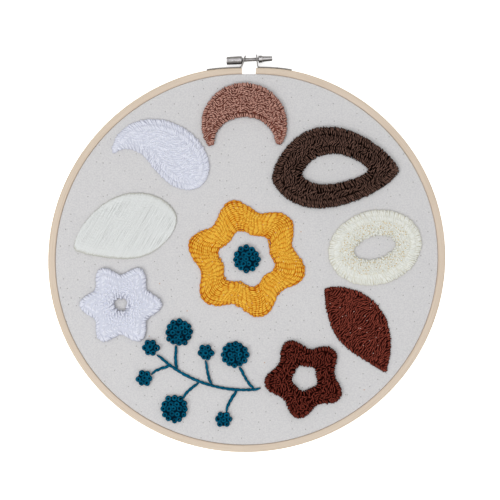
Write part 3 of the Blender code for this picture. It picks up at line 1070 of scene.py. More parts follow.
class Patch:
    """A stitched area between a left and a right edge, seen by its share along and its share across."""

    looped: bool = True
    place: Place

    def edges(self, along: Array) -> tuple[Array, Array]:
        """The left and the right edge at these shares, in the motif's own frame."""
        raise NotImplementedError

    def at(self, along: Array, across: Array) -> Array:
        """Plan points: a straight blend from the left edge, across 0, to the right one, across 1."""
        left, right = self.edges(along)
        return self.place.put(left + (right - left) * across[..., None])

    def width(self, along: Array) -> Array:
        """The distance between the two edges at these shares."""
        left, right = self.edges(along)
        return np.linalg.norm(right - left, axis=-1)

    def rims(self, steps: int = 260) -> list[Array]:
        """Its closed outlines, walked with the stitches on the left."""
        along = np.arange(steps) / steps
        if self.looped:
            left, right = self.edges(along)
            return [self.place.put(right), self.place.put(left)[::-1]]
        left, right = self.edges(np.linspace(0, 1, steps))
        return [self.place.put(np.concatenate([right, left[::-1]]))]

    def slab(self, height: float, inset: float, stations: int = 150, columns: int = 6) -> Skin:
        """The low ground of yarn under the stitches, domed like them and drawn in from their edge; low and
        unlit, it takes the yarn's painted shade between the loops.

        Args:
            height: its height in the middle.
            inset: how far it is drawn in.
            stations: how many sections it has.
            columns: how many points a section has on top.

        Returns:
            A closed surface.
        """
        along = np.arange(stations) / stations if self.looped else np.linspace(0, 1, stations)
        start = np.clip(inset / self.width(along), 0, 0.4)[:, None]
        shares = np.linspace(0, 1, columns)
        across = start + (1 - 2 * start) * np.concatenate([[0.04], shares, [0.96]])
        tops = np.concatenate([[0], height * dome(shares), [0]])
        plan = self.at(np.broadcast_to(along[:, None], across.shape), across)
        sections = raised(plan, STITCH_BASE + tops)
        turns = np.append(along, 1.0) if self.looped else along
        return swept(sections[None], turns[None] * 0.1, self.looped, np.full(1, 0.3)).unlit()


def dome(across: Array) -> Array:
    """A section's height as a share of its full height: low at the rim, flat over the middle."""
    return RIM_HEIGHT + (1 - RIM_HEIGHT) * (1 - np.abs(2 * across - 1) ** TOP_FLATNESS)


@dataclass(frozen=True)
class Ring(Patch):
    """Stitches between an outer outline and a hole."""

    outer: Lobed | Leaf
    hole: Lobed | Leaf
    place: Place

    def edges(self, along: Array) -> tuple[Array, Array]:
        """The hole's outline on the left and the outer one on the right."""
        return self.hole.outline(along), self.outer.outline(along)


@dataclass(frozen=True)
class Strip(Patch):
    """Stitches to both sides of a rib that starts at one heading and turns, late where hurry is over 1."""

    length: float
    start: float
    turn: float
    hurry: float
    tip: float
    half_width: float
    fullness: float
    roundness: float
    place: Place
    looped: bool = False
    steps: int = 400

    def half(self, along: Array) -> Array:
        """Half the strip's width: the tip's, and a swell that is a sine of the share along."""
        full = np.sin(math.pi * np.clip(along, 0, 1) ** self.fullness) ** self.roundness
        return self.tip + self.half_width * np.nan_to_num(full)

    def edges(self, along: Array) -> tuple[Array, Array]:
        """The points half a width to the left and right of the rib.

        Args:
            along: shares of the way along the rib.

        Returns:
            The left and the right points.
        """
        shares = np.linspace(0, 1, self.steps)
        rib = walked(self.length, np.radians(self.start + self.turn * shares**self.hurry))
        aside = left_of(unit(np.gradient(rib, axis=0)))
        middle = read_off(along, shares, rib)
        reach = read_off(along, shares, aside) * self.half(along)[..., None]
        return middle + reach, middle - reach


def inside(points: Array, rims: list[Array]) -> Array:
    """Which points lie between the rims: those from which a line to the right crosses an odd number.

    Args:
        points: plan points, as (points, 2).
        rims: closed plan outlines.

    Returns:
        A truth for each point.
    """
    odd = np.zeros(len(points), bool)
    x, y = points[:, :1], points[:, 1:]
    for rim in rims:
        start, end = rim, np.roll(rim, -1, axis=0)
        spans = (start[:, 1] > y) != (end[:, 1] > y)
        rise = np.where(end[:, 1] == start[:, 1], 1e-12, end[:, 1] - start[:, 1])
        crossing = start[:, 0] + (end[:, 0] - start[:, 0]) * (y - start[:, 1]) / rise
        odd ^= (spans & (x < crossing)).sum(axis=1) % 2 == 1
    return odd


def from_rim(points: Array, rims: list[Array]) -> Array:
    """The way to each point from the nearest spot on a rim.

    Args:
        points: plan points, as (points, 2).
        rims: closed plan outlines.

    Returns:
        Plan vectors.
    """
    nearest = np.full(points.shape, np.inf)
    for rim in rims:
        step = np.roll(rim, -1, axis=0) - rim
        apart = points[:, None] - rim
        share = np.clip((apart * step).sum(-1) / np.maximum((step**2).sum(-1), 1e-18), 0, 1)
        ways = apart - share[..., None] * step
        least = np.linalg.norm(ways, axis=-1).argmin(axis=1)
        way = ways[np.arange(len(points)), least]
        closer = np.linalg.norm(way, axis=1) < np.linalg.norm(nearest, axis=1)
        nearest = np.where(closer[:, None], way, nearest)
    return nearest


def clearance(points: Array, rims: list[Array]) -> Array:
    """The distance from each plan point to the nearest rim."""
    return np.linalg.norm(from_rim(points, rims), axis=1)


def rim_at(rim: Array, distances: Array) -> tuple[Array, Array]:
    """Points and directions on a closed rim, at these distances along it.

    Args:
        rim: the rim's points.
        distances: metres along it, of any shape.

    Returns:
        The points and the directions, smoothed over a few of the rim's own steps.
    """
    closed = np.vstack([rim, rim[:1]])
    lengths = walk(closed)
    ahead = unit(np.roll(rim, -2, axis=0) - np.roll(rim, 2, axis=0))
    ahead = np.vstack([ahead, ahead[:1]])
    at = np.mod(distances, lengths[-1])
    return read_off(at, lengths, closed), unit(read_off(at, lengths, ahead))


def rim_length(rim: Array) -> float:
    """The length once round a rim."""
    return float(np.linalg.norm(np.roll(rim, -1, axis=0) - rim, axis=1).sum())


@dataclass(frozen=True)
class Weft:
    """A brick pattern of loops, bent by two sideways waves that keep its density.

    Gap is the distance between loops side by side, and reach that between loops end to end, of which a
    loop spans the share fill. Swirl is how steeply the waves turn the loops, and wave is their length.
    """

    gap: float = 0.00152
    reach: float = 0.0029
    fill: float = 0.90
    swirl: float = 0.8
    wave: float = 0.018
    stray: float = 0.14
    jitter: tuple[float, float] = (0.10, 0.22)

    def bent(self, points: Array) -> Array:
        """x moved by a sine of y, and then y by a sine of the new x."""
        amount = self.swirl * self.wave / (2 * math.pi)
        pace = 2 * math.pi / self.wave
        x = points[..., 0] + amount * np.sin(points[..., 1] * pace + 0.7)
        y = points[..., 1] + amount * np.sin(x * pace + 2.1)
        return np.stack([x, y], axis=-1)

    def over(self, rims: list[Array], rng: Rng) -> tuple[Array, Array]:
        """Loops' middles and headings over the box of some rims.

        Args:
            rims: closed plan outlines.
            rng: random numbers.

        Returns:
            Plan points and plan directions.
        """
        corners = np.concatenate(rims)
        middle = (corners.min(axis=0) + corners.max(axis=0)) / 2
        far = float(np.linalg.norm(np.ptp(corners, axis=0))) / 2 + self.wave
        across, along = np.arange(-far, far, self.gap), np.arange(-far, far, self.reach)
        u, v = np.meshgrid(across, along)
        v = v + (np.arange(len(across)) % 2) * self.reach / 2
        flat = np.stack([u.ravel(), v.ravel()], axis=-1)
        flat = flat + rng.uniform(-1, 1, flat.shape) * (np.array([self.gap, self.reach]) * self.jitter)
        spin = spin_of(rng.uniform(0, math.pi))
        nudge = np.array([0.0, 0.0002])
        here, there = self.bent(flat @ spin), self.bent((flat + nudge) @ spin)
        headings = turned(unit(there - here), rng.normal(0, self.stray, len(here)))
        return here + middle, headings


@dataclass(frozen=True)
class LoopSpots:
    """Where loops stand: their middles and headings in plan, how far each reaches and how high."""

    middles: Array
    headings: Array
    spans: Array
    heights: Array

    def covered(self) -> Array:
        """Three plan points along each loop."""
        thirds = np.array([-1, 0, 1])[:, None, None] * (self.spans[:, None] / 3 * self.headings)
        return (self.middles + thirds).reshape(-1, 2)


@dataclass(frozen=True)
class LoopPile:
    """Looped pile: rows of loops almost square to the edges, and a bent brick pattern of loops inside.

    Rim_slant is in degrees. Ground is the height of the ground as a share of the pile, and ground_inset
    how far it is drawn in, in radii. Elbow, rim_clear and inner_clear are the room that a loop needs, as
    shares of the loops' gap, of a row's inset and of a loop's radius.
    """

    pile: float = 0.005
    radius: float = 0.00074
    rim_span: float = 0.0031
    rim_spacing: float = 0.00160
    rim_slant: float = 14
    rim_rows: int = 1
    rim_height: float = 0.80
    hole_rows: bool = True
    weft: Weft = Weft()
    inner_radius: float = 0.00068
    curl: float = 0.0003
    stations: int = 9
    sides: int = 6
    elbow: float = 0.85
    ground: float = 0.42
    ground_inset: float = 1.5
    foot: float = 0.0004
    most_curl: float = 0.0009
    rim_clear: float = 0.72
    inner_clear: float = 1.2
    shoulder: float = 0.006
    rim_scatter: float = 0.00022
    rim_stray: float = 0.13

    def loops(self, spots: LoopSpots, radius: float, lowest_tint: float, rng: Rng) -> Skin:
        """Arches: out by minus the cosine and up by a power of the sine of a half turn, and curled aside.

        Args:
            spots: where they stand.
            radius: the yarn's.
            lowest_tint: 0 for loops along an edge, and a half for those inside.
            rng: random numbers.

        Returns:
            The loops' strands.
        """
        count = len(spots.middles)
        turn = np.linspace(0, math.pi, self.stations)
        out, up = -np.cos(turn), np.clip(np.sin(turn), 0, 1) ** 0.6
        aside = left_of(spots.headings)
        lean = np.clip(rng.normal(0, self.curl, (count, 1)), -self.most_curl, self.most_curl) * aside
        plan = spots.middles[:, None] + spots.headings[:, None] * (spots.spans[:, None] / 2 * out)[..., None]
        plan = plan + lean[:, None] * up[:, None]
        z = STITCH_BASE + self.foot + (spots.heights[:, None] - radius - self.foot) * up
        paths = raised(plan, z)
        thick = radius * rng.uniform(0.92, 1.08, (count, 1)) * (0.86 + 0.14 * up)
        tint = lowest_tint + rng.uniform(0.0, 0.499, count)
        return strands(paths, thick, flat3(aside)[:, None], self.sides, 1.0, tint)

    def rim_spots(self, rims: list[Array], rim: Array, row: int, rng: Rng) -> LoopSpots:
        """One row of loops along an edge, square to it but for their slant.

        Args:
            rims: all the patch's outlines.
            rim: the one that the row follows.
            row: its number, counted inwards.
            rng: random numbers.

        Returns:
            Where the row's loops stand, those left out that come too near another edge.
        """
        inset = self.radius * 0.9 + self.rim_span * (row + 0.5)
        length = rim_length(rim)
        count = round(length / self.rim_spacing)
        at = (np.arange(count) + rng.uniform(-0.15, 0.15, count)) * length / count
        points, ahead = rim_at(rim, at)
        inward = left_of(ahead)
        middles = points + inward * (inset + rng.normal(0, self.rim_scatter, (count, 1)))
        kept = inside(middles, rims) & (clearance(middles, rims) > inset * self.rim_clear)
        slants = math.radians(self.rim_slant) + rng.normal(0, self.rim_stray, count)
        spans = self.rim_span * rng.uniform(0.95, 1.15, count)
        heights = self.pile * (self.rim_height + 0.08 * row) * rng.uniform(0.95, 1.05, count)
        return LoopSpots(middles[kept], turned(inward, slants)[kept], spans[kept], heights[kept])

    def inner_spots(self, rims: list[Array], taken: Array, rng: Rng) -> LoopSpots:
        """The brick pattern of loops, wherever the rows along the edges leave room for one.

        Args:
            rims: the patch's outlines.
            taken: plan points that loops along the edges cover.
            rng: random numbers.

        Returns:
            Where the inner loops stand.
        """
        middles, headings = self.weft.over(rims, rng)
        depth = clearance(middles, rims)
        kept = inside(middles, rims) & (depth > self.inner_radius * self.inner_clear)
        middles, headings, depth = middles[kept], headings[kept], depth[kept]
        apart = np.linalg.norm(middles[:, None] - taken, axis=-1).min(axis=1)
        free = apart > self.weft.gap * self.elbow
        middles, headings, depth = middles[free], headings[free], depth[free]
        count = len(middles)
        spans = self.weft.reach * self.weft.fill * rng.uniform(0.90, 1.12, count)
        risen = 0.90 + 0.08 * np.clip(depth / self.shoulder, 0, 1)
        heights = self.pile * risen * rng.uniform(0.94, 1.02, count)
        return LoopSpots(middles, headings, spans, heights)

    def skin(self, patch: Patch, rng: Rng) -> Skin:
        """The ground, the rim rows and the loops inside them.

        Args:
            patch: the area.
            rng: random numbers.

        Returns:
            One skin of all its strands and their ground.
        """
        rims = patch.rims()
        skins = [patch.slab(self.pile * self.ground, self.radius * self.ground_inset)]
        rowed = rims if self.hole_rows else rims[:1]
        rows = [self.rim_spots(rims, rim, row, rng) for row in range(self.rim_rows) for rim in rowed]
        skins += [self.loops(spots, self.radius, 0.0, rng) for spots in rows]
        taken = np.concatenate([spots.covered() for spots in rows])
        skins.append(self.loops(self.inner_spots(rims, taken, rng), self.inner_radius, 0.5, rng))
        return Skin.joined(skins)


@dataclass(frozen=True)
class FlatRows:
    """Closed rows of short flat stitches that follow the edges, each stitch fullest in its middle."""

    pile: float = 0.0022
    radius: float = 0.00082
    length: float = 0.0033
    wave: float = 0.40
    waves: int = 9
    jitter: float = 0.06
    zones: int = 3
    squash: float = 0.85
    dive: float = 0.50
    pinch: float = 0.50
    fullness: float = 0.65
    lowest: float = 0.62
    spacing: float = 0.85
    loose: float = 0.10
    edge_loose: float = 0.26
    stations: int = 7
    sides: int = 6
    ground: float = 0.50
    ground_inset: float = 1.45

    def lift(self) -> tuple[Array, Array, Array]:
        """Shares along a stitch, and its height and its thickness there."""
        share = np.linspace(0, 1, self.stations)
        lack = 1 - swell(share, self.fullness)
        return share, 1 - self.dive * lack, 1 - self.pinch * lack

    def stitches(self, plan: Array, across: Array, rng: Rng) -> Skin:
        """Strands over these plan points.

        Args:
            plan: points, as (stitches, stations, 2).
            across: each point's share across the motif, for its height.
            rng: random numbers.

        Returns:
            The stitches' strands.
        """
        _, high, thick = self.lift()
        count = len(plan)
        crest = self.pile * np.maximum(dome(across), self.lowest) * rng.uniform(0.94, 1.04, (count, 1))
        z = STITCH_BASE + (crest - self.radius * self.squash) * high
        paths = raised(plan, z)
        aside = flat3(left_of(unit(plan[:, -1] - plan[:, 0])))[:, None]
        radii = self.radius * rng.uniform(0.94, 1.07, (count, 1)) * thick
        return strands(paths, radii, aside, self.sides, self.squash, rng.random(count))

    def marks(self, count: int, across: float, rng: Rng) -> Array:
        """Where the stitches of a row end: even, with two waves and a little jitter.

        Args:
            count: how many stitches the row has.
            across: the row's share across the motif.
            rng: random numbers.

        Returns:
            Places along the row, counted in stitches.
        """
        even = np.arange(count + 1)
        bend = self.wave * np.sin(2 * math.pi * self.waves * even / count + 5.0 * across)
        bend = bend + 0.5 * self.wave * np.sin(2 * math.pi * 3 * even / count - 9.0 * across)
        jitter = rng.normal(0, self.jitter, count + 1)
        jitter[-1] = jitter[0]
        return even + bend + jitter

    def ring_rows(self, patch: Patch, rng: Rng) -> Skin:
        """Closed rows between the hole and the outline, with as many stitches as their zone needs.

        Args:
            patch: the area.
            rng: random numbers.

        Returns:
            One skin of the rows' strands.
        """
        share = self.lift()[0]
        along = np.linspace(0, 1, 241)
        rows = round(float(patch.width(along).mean()) / (2 * self.radius * self.spacing))
        skins = []
        for row in range(rows):
            across = (row + 0.5) / rows
            zone = (math.floor(across * self.zones) + 0.6) / self.zones
            line = patch.at(along, np.full_like(along, zone))
            count = round(float(np.linalg.norm(np.diff(line, axis=0), axis=1).sum()) / self.length)
            ends = self.marks(count, across, rng) / count
            at = ends[:-1, None] + (ends[1:] - ends[:-1])[:, None] * share
            loose = self.edge_loose if row in (0, rows - 1) else self.loose
            lanes = np.full_like(at, across) + rng.normal(0, loose / rows, (count, 1))
            skins.append(self.stitches(patch.at(np.mod(at, 1.0), lanes), lanes, rng))
        return Skin.joined(skins)

    def skin(self, patch: Patch, rng: Rng) -> Skin:
        """The ground and the rows over it."""
        ground = patch.slab(self.pile * self.ground, self.radius * self.ground_inset)
        return Skin.joined([ground, self.ring_rows(patch, rng)])


@dataclass(frozen=True)
class SatinStitch:
    """Long threads side by side, from edge to edge in one direction."""

    pile: float = 0.0016
    radius: float = 0.00036
    pitch: float = 0.00058
    heading: float = math.radians(60)
    ragged: float = 0.0007
    drift: float = 0.00007
    shoulder: float = 0.0028
    stations: int = 18
    sides: int = 6
    ground: float = 0.45
    ground_inset: float = 0.0012

    def skin(self, patch: Patch, rng: Rng) -> Skin:
        """Threads clipped to the outline: each runs from its first crossing of the rim to its last.

        Args:
            patch: the area.
            rng: random numbers.

        Returns:
            One skin of all its strands and their ground.
        """
        rim = patch.rims(400)[0]
        ahead = np.array([math.cos(self.heading), math.sin(self.heading)])
        aside = left_of(ahead)
        beside, along = rim @ aside, rim @ ahead
        count = int((np.ptp(beside) - self.radius) / self.pitch)
        lines = beside.min() + (np.arange(count) + 0.7) * np.ptp(beside) / (count + 0.4)
        start, end = beside, np.roll(beside, -1)
        crossed = (start > lines[:, None]) != (end > lines[:, None])
        share = (lines[:, None] - start) / np.where(end == start, 1e-12, end - start)
        meet = along + share * (np.roll(along, -1) - along)
        low = np.where(crossed, meet, np.inf).min(axis=1) + rng.uniform(0.0, self.ragged, count)
        high = np.where(crossed, meet, -np.inf).max(axis=1) - rng.uniform(0.0, self.ragged, count)
        kept = high - low > 4 * self.radius
        low, high, lines = low[kept], high[kept], lines[kept]
        count = len(lines)
        step = np.linspace(0, 1, self.stations)
        ease = 0.5 - 0.5 * np.cos(math.pi * step)
        at = low[:, None] + (high - low)[:, None] * ease
        drift = rng.normal(0, self.drift, (count, 1)) * np.sin(math.pi * ease * 2)
        plan = at[..., None] * ahead + (lines[:, None] + drift)[..., None] * aside
        ends = np.minimum(at - low[:, None], high[:, None] - at)
        over = np.clip(ends / self.shoulder, 0, 1) ** 0.6
        crest = self.pile * (0.86 + 0.14 * np.sin(math.pi * ease)) * rng.uniform(0.93, 1.02, (count, 1))
        z = STITCH_BASE + self.radius + (crest - 2 * self.radius) * over
        paths = raised(plan, z)
        thick = self.radius * rng.uniform(0.92, 1.08, (count, 1))
        threads = strands(paths, thick, flat3(aside)[None, None], self.sides, 1.0, rng.random(count))
        return Skin.joined([patch.slab(self.pile * self.ground, self.ground_inset, 120), threads])


@dataclass(frozen=True)
class StemStitch:
    """Stem stitch: short slanted stitches, each starting half way along the one before."""

    pile: float = 0.0024
    radius: float = 0.00118
    length: float = 0.0068
    step: float = 0.0042
    slant: float = 0.0007
    fullness: float = 0.6
    foot: float = 0.45
    stations: int = 9
    sides: int = 7

    def skin(self, line: Array, rng: Rng) -> Skin:
        """Spindles along a line, crossing it from one side to the other.

        Args:
            line: plan points along the stem.
            rng: random numbers.

        Returns:
            The stitches' strands.
        """
        lengths = walk(line)
        total = float(lengths[-1])
        reach = min(self.length, total * 0.6)
        count = max(3, round((total - reach) / self.step) + 1)
        starts = np.linspace(0, total - reach, count)
        share = np.linspace(0, 1, self.stations)
        at = starts[:, None] + reach * share
        point = read_off(at, lengths, line)
        aside = left_of(unit(np.gradient(point, axis=1)))
        plan = point + aside * (self.slant * (2 * share - 1))[:, None]
        full = swell(share, self.fullness)
        radii = self.radius * (0.40 + 0.60 * full) * rng.uniform(0.82, 1.06, (count, 1))
        crest = self.pile * rng.uniform(0.90, 1.0, (count, 1)) - self.radius
        foot = self.radius * self.foot
        z = STITCH_BASE + foot + (crest - foot) * full
        paths = raised(plan, z)
        return strands(paths, radii, flat3(aside), self.sides, 1.0, rng.random(count))


@dataclass(frozen=True)
class KnotCluster:
    """Wound knots side by side: one, then rings of six and twelve."""

    pitch: float = 0.0044
    pile: float = 0.0040
    coil: float = 0.00172
    yarn: float = 0.00084
    turns: float = 1.9
    dive: float = 0.08
    tuck: float = 0.6
    sink: float = 0.45
    scatter: float = 0.00042
    most_scatter: float = 0.0007
    tip: float = 0.36
    most_tip: float = 0.6
    stations: int = 42
    sides: int = 7
    pad_sides: int = 40
    pad_reach: tuple[float, ...] = (0.02, 0.5, 1.0, 1.0, 0.9, 0.02)
    pad_heights: tuple[float, ...] = (0.0, 0.0, 0.0, 0.28, 0.40, 0.42)

    def reach(self, rings: int) -> float:
        """How far the cluster reaches: half a knot past its outermost ring."""
        return (rings + 0.5) * self.pitch

    def middles(self, rings: int) -> Array:
        """The knots' plan points about the cluster's middle."""
        points = [np.zeros((1, 2))]
        for ring in range(1, rings + 1):
            points.append(ring * self.pitch * compass(round_angles(6 * ring)))
        return np.concatenate(points)

    def skin(self, middle: Array, rings: int, rng: Rng) -> Skin:
        """A pad, and on it a coil of yarn for each knot that winds up, then dives into its middle.

        Args:
            middle: the cluster's middle in plan.
            rings: how many rings of knots it has.
            rng: random numbers.

        Returns:
            One skin of the pad and the coils.
        """
        spots = self.middles(rings)
        count = len(spots)
        strays = rng.normal(0, self.scatter, (count, 2))
        spots = middle + spots + np.clip(strays, -self.most_scatter, self.most_scatter)
        share = np.linspace(0, 1, self.stations)
        spin = rng.uniform(0, 2 * math.pi, (count, 1)) + 2 * math.pi * self.turns * share
        diving = np.clip((share - 1 + self.dive) / self.dive, 0, 1)
        wound = np.minimum(0.2 + 5 * share, 1.06 - 0.16 * share) * (1 - self.tuck * diving)
        radius = self.coil * rng.uniform(0.82, 1.10, (count, 1)) * wound
        tip = np.clip(rng.normal(0, self.tip, (count, 2)), -self.most_tip, self.most_tip)
        plan = spots[:, None] + radius[..., None] * compass(spin)
        top = self.pile * rng.uniform(0.90, 1.0, (count, 1)) - self.yarn
        z = STITCH_BASE + self.yarn + (top - self.yarn) * (share - self.sink * diving)
        z = z + ((plan - spots[:, None]) * tip[:, None]).sum(axis=-1)
        paths = raised(plan, z)
        thick = self.yarn * (0.55 + 0.45 * swell(share, 0.3))
        inwards = flat3(-compass(spin))
        coils = strands(paths, thick[None], inwards, self.sides, 1.0, rng.random(count))
        return Skin.joined([self.pad(middle, rings), coils])

    def pad(self, middle: Array, rings: int) -> Skin:
        """The low round ground of yarn under the knots, which takes the yarn's painted shade."""
        radii = (self.reach(rings) - self.pitch * 0.3) * np.array(self.pad_reach)
        heights = np.array(self.pad_heights) * self.pile
        plan = middle + radii[:, None, None] * compass(round_angles(self.pad_sides))
        sections = raised(plan, (STITCH_BASE + heights)[:, None])
        return swept(sections[None], radii[None], False, np.zeros(1)).unlit()


@dataclass(frozen=True)
class Twig:
    """A twig: how far up the stem it leaves, its slant, its length, its curl, and its berry's rings."""

    along: float
    slant: float
    length: float
    curl: float
    rings: int


@dataclass(frozen=True)
class Sprig:
    """A bent stem with twigs to both sides and a cluster of knots at the end of each."""

    place: Place
    finish: YarnFinish
    twigs: tuple[Twig, ...]
    length: float = 0.090
    bend: float = math.radians(-52)
    tip_rings: int = 1
    steps: int = 25
    twig_steps: int = 9
    half_width: float = 0.0016
    bulge: float = 0.18
    stitch: StemStitch = StemStitch()
    knots: KnotCluster = KnotCluster()

    def build(self, rng: Rng) -> None:
        """Stitches the stem, each twig and each berry."""
        headings = np.linspace(-self.bend / 2, self.bend / 2, self.steps)
        rib = walked(self.length, headings)
        self.sew("sprig_stem", rib, rng)
        ends = [(rib[-1], headings[-1], self.tip_rings)]
        shares = np.linspace(0, 1, self.steps)
        for number, twig in enumerate(self.twigs, 1):
            root = read_off(twig.along, shares, rib)
            heading = np.interp(twig.along, shares, headings) + math.radians(twig.slant)
            turns = np.linspace(heading, heading + math.radians(twig.curl), self.twig_steps)
            line = walked(twig.length, turns)
            clear = self.half_width * (1 + self.bulge) * 2 + GAP
            line = line - line[0] + root + clear * self.ahead(heading)
            tucked = root + self.half_width * 0.5 * self.ahead(heading)
            end = line[-1] + self.half_width * 0.9 * self.ahead(turns[-1])
            self.sew(f"sprig_twig_{number}", np.vstack([tucked, line, end]), rng)
            ends.append((line[-1], turns[-1], twig.rings))
        for number, (tip, heading, rings) in enumerate(ends, 1):
            reach = self.knots.reach(rings) + self.half_width / 2 + GAP
            middle = self.place.put(tip + reach * self.ahead(heading))
            knot_piece(f"berry_{number}", middle, rings, self.knots, self.finish, rng)

    def ahead(self, heading: float) -> Array:
        """One metre in this heading, measured to the left from +Y."""
        return np.array([-math.sin(heading), math.cos(heading)])

    def sew(self, node: str, line: Array, rng: Rng) -> None:
        """One line of stem stitch as the piece for its node."""
        plan = self.place.put(line)
        skin = self.stitch.skin(plan, rng)
        set_piece(node + "_yarn", skin, node, self.finish, STITCH_BASE, self.stitch.pile)


def knot_piece(
    node: str, middle: Array, rings: int, knots: KnotCluster, finish: YarnFinish, rng: Rng
) -> None:
    """One cluster of knots as the piece for its node."""
    set_piece(node + "_knots", knots.skin(middle, rings, rng), node, finish, STITCH_BASE, knots.pile)


@dataclass(frozen=True)
class Motif:
    """One stitched motif: its area, how it is worked, and its yarn."""

    node: str
    patch: Patch
    work: LoopPile | FlatRows | SatinStitch
    finish: YarnFinish

    def build(self, rng: Rng) -> None:
        """Works the motif and sets it in its solid's place."""
        skin = self.work.skin(self.patch, rng)
        set_piece(self.node + "_yarn", skin, self.node, self.finish, STITCH_BASE, self.work.pile)


# Each yarn's colours: painted shade low in the pile, body, painted highlight on the crowns
MUSTARD = YarnFinish(
    "mustard",
    Slot.MUSTARD,
    (190, 88, 0),
    (218, 133, 5),
    (254, 211, 84),
    crown=(0.12, 0.98),
    depth=(0.28, 0.70),
    speck=(232, 206, 160),
)
ROSE = YarnFinish(
    "rose", Slot.ROSE, (100, 52, 40), (132, 78, 65), (232, 184, 168), crown=(0.66, 1.0), depth=(0.20, 0.60)
)
RUST = YarnFinish(
    "rust", Slot.RUST, (32, 4, 2), (52, 11, 6), (160, 78, 63), crown=(0.66, 1.0), speck=(215, 182, 172)
)
BROWN = YarnFinish("brown", Slot.BROWN, (10, 2, 0), (18, 6, 2), (136, 103, 91), crown=(0.75, 1.0))
MAROON = YarnFinish("maroon", Slot.MAROON, (28, 2, 0), (46, 7, 3), (142, 66, 53), crown=(0.68, 1.0))
CREAM = YarnFinish(
    "cream",
    Slot.CREAM,
    (214, 211, 194),
    (226, 226, 216),
    (241, 243, 239),
    crown=(0.20, 0.95),
    speck=(210, 182, 116),
    speck_cells=440.0,
    speck_size=0.28,
    speck_rarity=0.38,
    speck_inside=True,
)
WHITE = YarnFinish(
    "cool_white", Slot.WHITE, (198, 200, 213), (213, 216, 230), (239, 241, 251), crown=(0.2, 1.0)
)
SATIN = YarnFinish(
    "satin",
    Slot.SATIN,
    (176, 174, 160),
    (224, 226, 225),
    (236, 239, 238),
    roughness=0.6,
    specular=0.15,
    twist=0.00004,
)
TEAL = YarnFinish(
    "teal", Slot.TEAL, (0, 14, 26), (3, 44, 67), (2, 103, 135), crown=(0.2, 0.95), depth=(0.20, 0.66)
)

MOTIFS = (
    Motif(
        "flower_mustard",
        Ring(Lobed(0.043, 6, 0.12, 1.0), Lobed(0.021, 6, 0.09, 1.0), Place(0, 0.0, 15)),
        FlatRows(),
        MUSTARD,
    ),
    Motif(
        "leaf_brown",
        Ring(Leaf(0.102, 0.064, 0.006), Leaf(0.052, 0.023, 0.003), Place(45, 0.100, -41)),
        LoopPile(
            radius=0.00062,
            rim_spacing=0.00132,
            rim_span=0.0028,
            rim_rows=2,
            weft=Weft(gap=0.00130, reach=0.0024, fill=1.0, swirl=0.5, wave=0.017, stray=0.24),
            inner_radius=0.00062,
            ground=0.60,
        ),
        BROWN,
    ),
    Motif(
        "blossom_maroon",
        Ring(Lobed(0.0285, 5, 0.15, 1.0), Lobed(0.0095, 5, 0.06, 1.0), Place(-64, 0.106, 0)),
        LoopPile(
            radius=0.00070,
            rim_spacing=0.00150,
            weft=Weft(gap=0.00148, reach=0.0024, fill=1.0, wave=0.012, stray=0.40),
            curl=0.0004,
            ground=0.54,
        ),
        MAROON,
    ),
    Motif(
        "oval_cream",
        Ring(Lobed(0.030, 2, 0.0, 1.27), Lobed(0.0085, 2, 0.0, 1.9), Place(5, 0.103, 10)),
        LoopPile(
            pile=0.0022,
            radius=0.00094,
            rim_span=0.0040,
            rim_spacing=0.00166,
            rim_rows=2,
            hole_rows=False,
            weft=Weft(gap=0.00140, reach=0.0022, fill=1.0, swirl=1.0, wave=0.012, stray=0.3),
            inner_radius=0.00064,
            ground=0.66,
            ground_inset=0.9,
        ),
        CREAM,
    ),
    Motif(
        "star_white",
        Ring(Lobed(0.029, 6, 0.15, 1.0), Lobed(0.0048, 6, 0.0, 1.0), Place(-160, 0.107, 10)),
        LoopPile(
            radius=0.00086,
            rim_span=0.0042,
            rim_slant=28,
            rim_rows=2,
            hole_rows=False,
            weft=Weft(gap=0.00162, fill=1.0, swirl=1.0, wave=0.015, stray=0.2),
            inner_radius=0.00086,
            ground=0.80,
            ground_inset=0.9,
        ),
        WHITE,
    ),
    Motif(
        "crescent_rose",
        Strip(0.104, -106, 212, 1.0, 0.0025, 0.0115, 1.0, 1.0, Place(91, 0.109, 90)),
        LoopPile(
            radius=0.00062,
            rim_spacing=0.00136,
            rim_span=0.0028,
            weft=Weft(gap=0.00130, reach=0.0023, fill=1.0, swirl=0.9, wave=0.013, stray=0.25),
            inner_radius=0.00062,
            ground=0.56,
        ),
        ROSE,
    ),
    Motif(
        "paisley_white",
        Strip(0.092, -14, 124, 2.2, 0.0010, 0.0205, 0.62, 0.85, Place(134, 0.102, 2)),
        LoopPile(
            pile=0.0022,
            radius=0.00086,
            rim_span=0.0042,
            rim_spacing=0.00175,
            rim_slant=32,
            rim_rows=2,
            weft=Weft(gap=0.00176, reach=0.0040, fill=1.0, swirl=0.5, wave=0.030, stray=0.08),
            inner_radius=0.00090,
            ground=0.70,
            ground_inset=1.1,
        ),
        WHITE,
    ),
    Motif(
        "leaf_rust",
        Strip(0.084, 16, -32, 1.0, 0.0008, 0.0205, 0.9, 0.9, Place(-32, 0.105, -22)),
        LoopPile(
            pile=0.0022,
            radius=0.00072,
            rim_span=0.0028,
            rim_slant=34,
            weft=Weft(gap=0.00140, reach=0.0024, fill=0.96, swirl=0.45, wave=0.024, stray=0.22),
            inner_radius=0.00066,
            ground=0.56,
        ),
        RUST,
    ),
    Motif(
        "leaf_satin",
        Strip(0.086, -12, 24, 1.0, 0.0010, 0.0250, 0.8, 0.75, Place(167, 0.100, 30)),
        SatinStitch(),
        SATIN,
    ),
)

SPRIG = Sprig(
    Place(-108.5, 0.100, -90),
    TEAL,
    (
        Twig(0.06, -56, 0.016, -16, 2),
        Twig(0.20, 54, 0.015, 22, 1),
        Twig(0.44, -56, 0.015, -16, 1),
        Twig(0.54, 52, 0.014, 22, 2),
        Twig(0.78, -50, 0.014, -16, 2),
        Twig(0.84, 48, 0.012, 22, 1),
    ),
)
FLOWER_KNOT_RINGS = 2


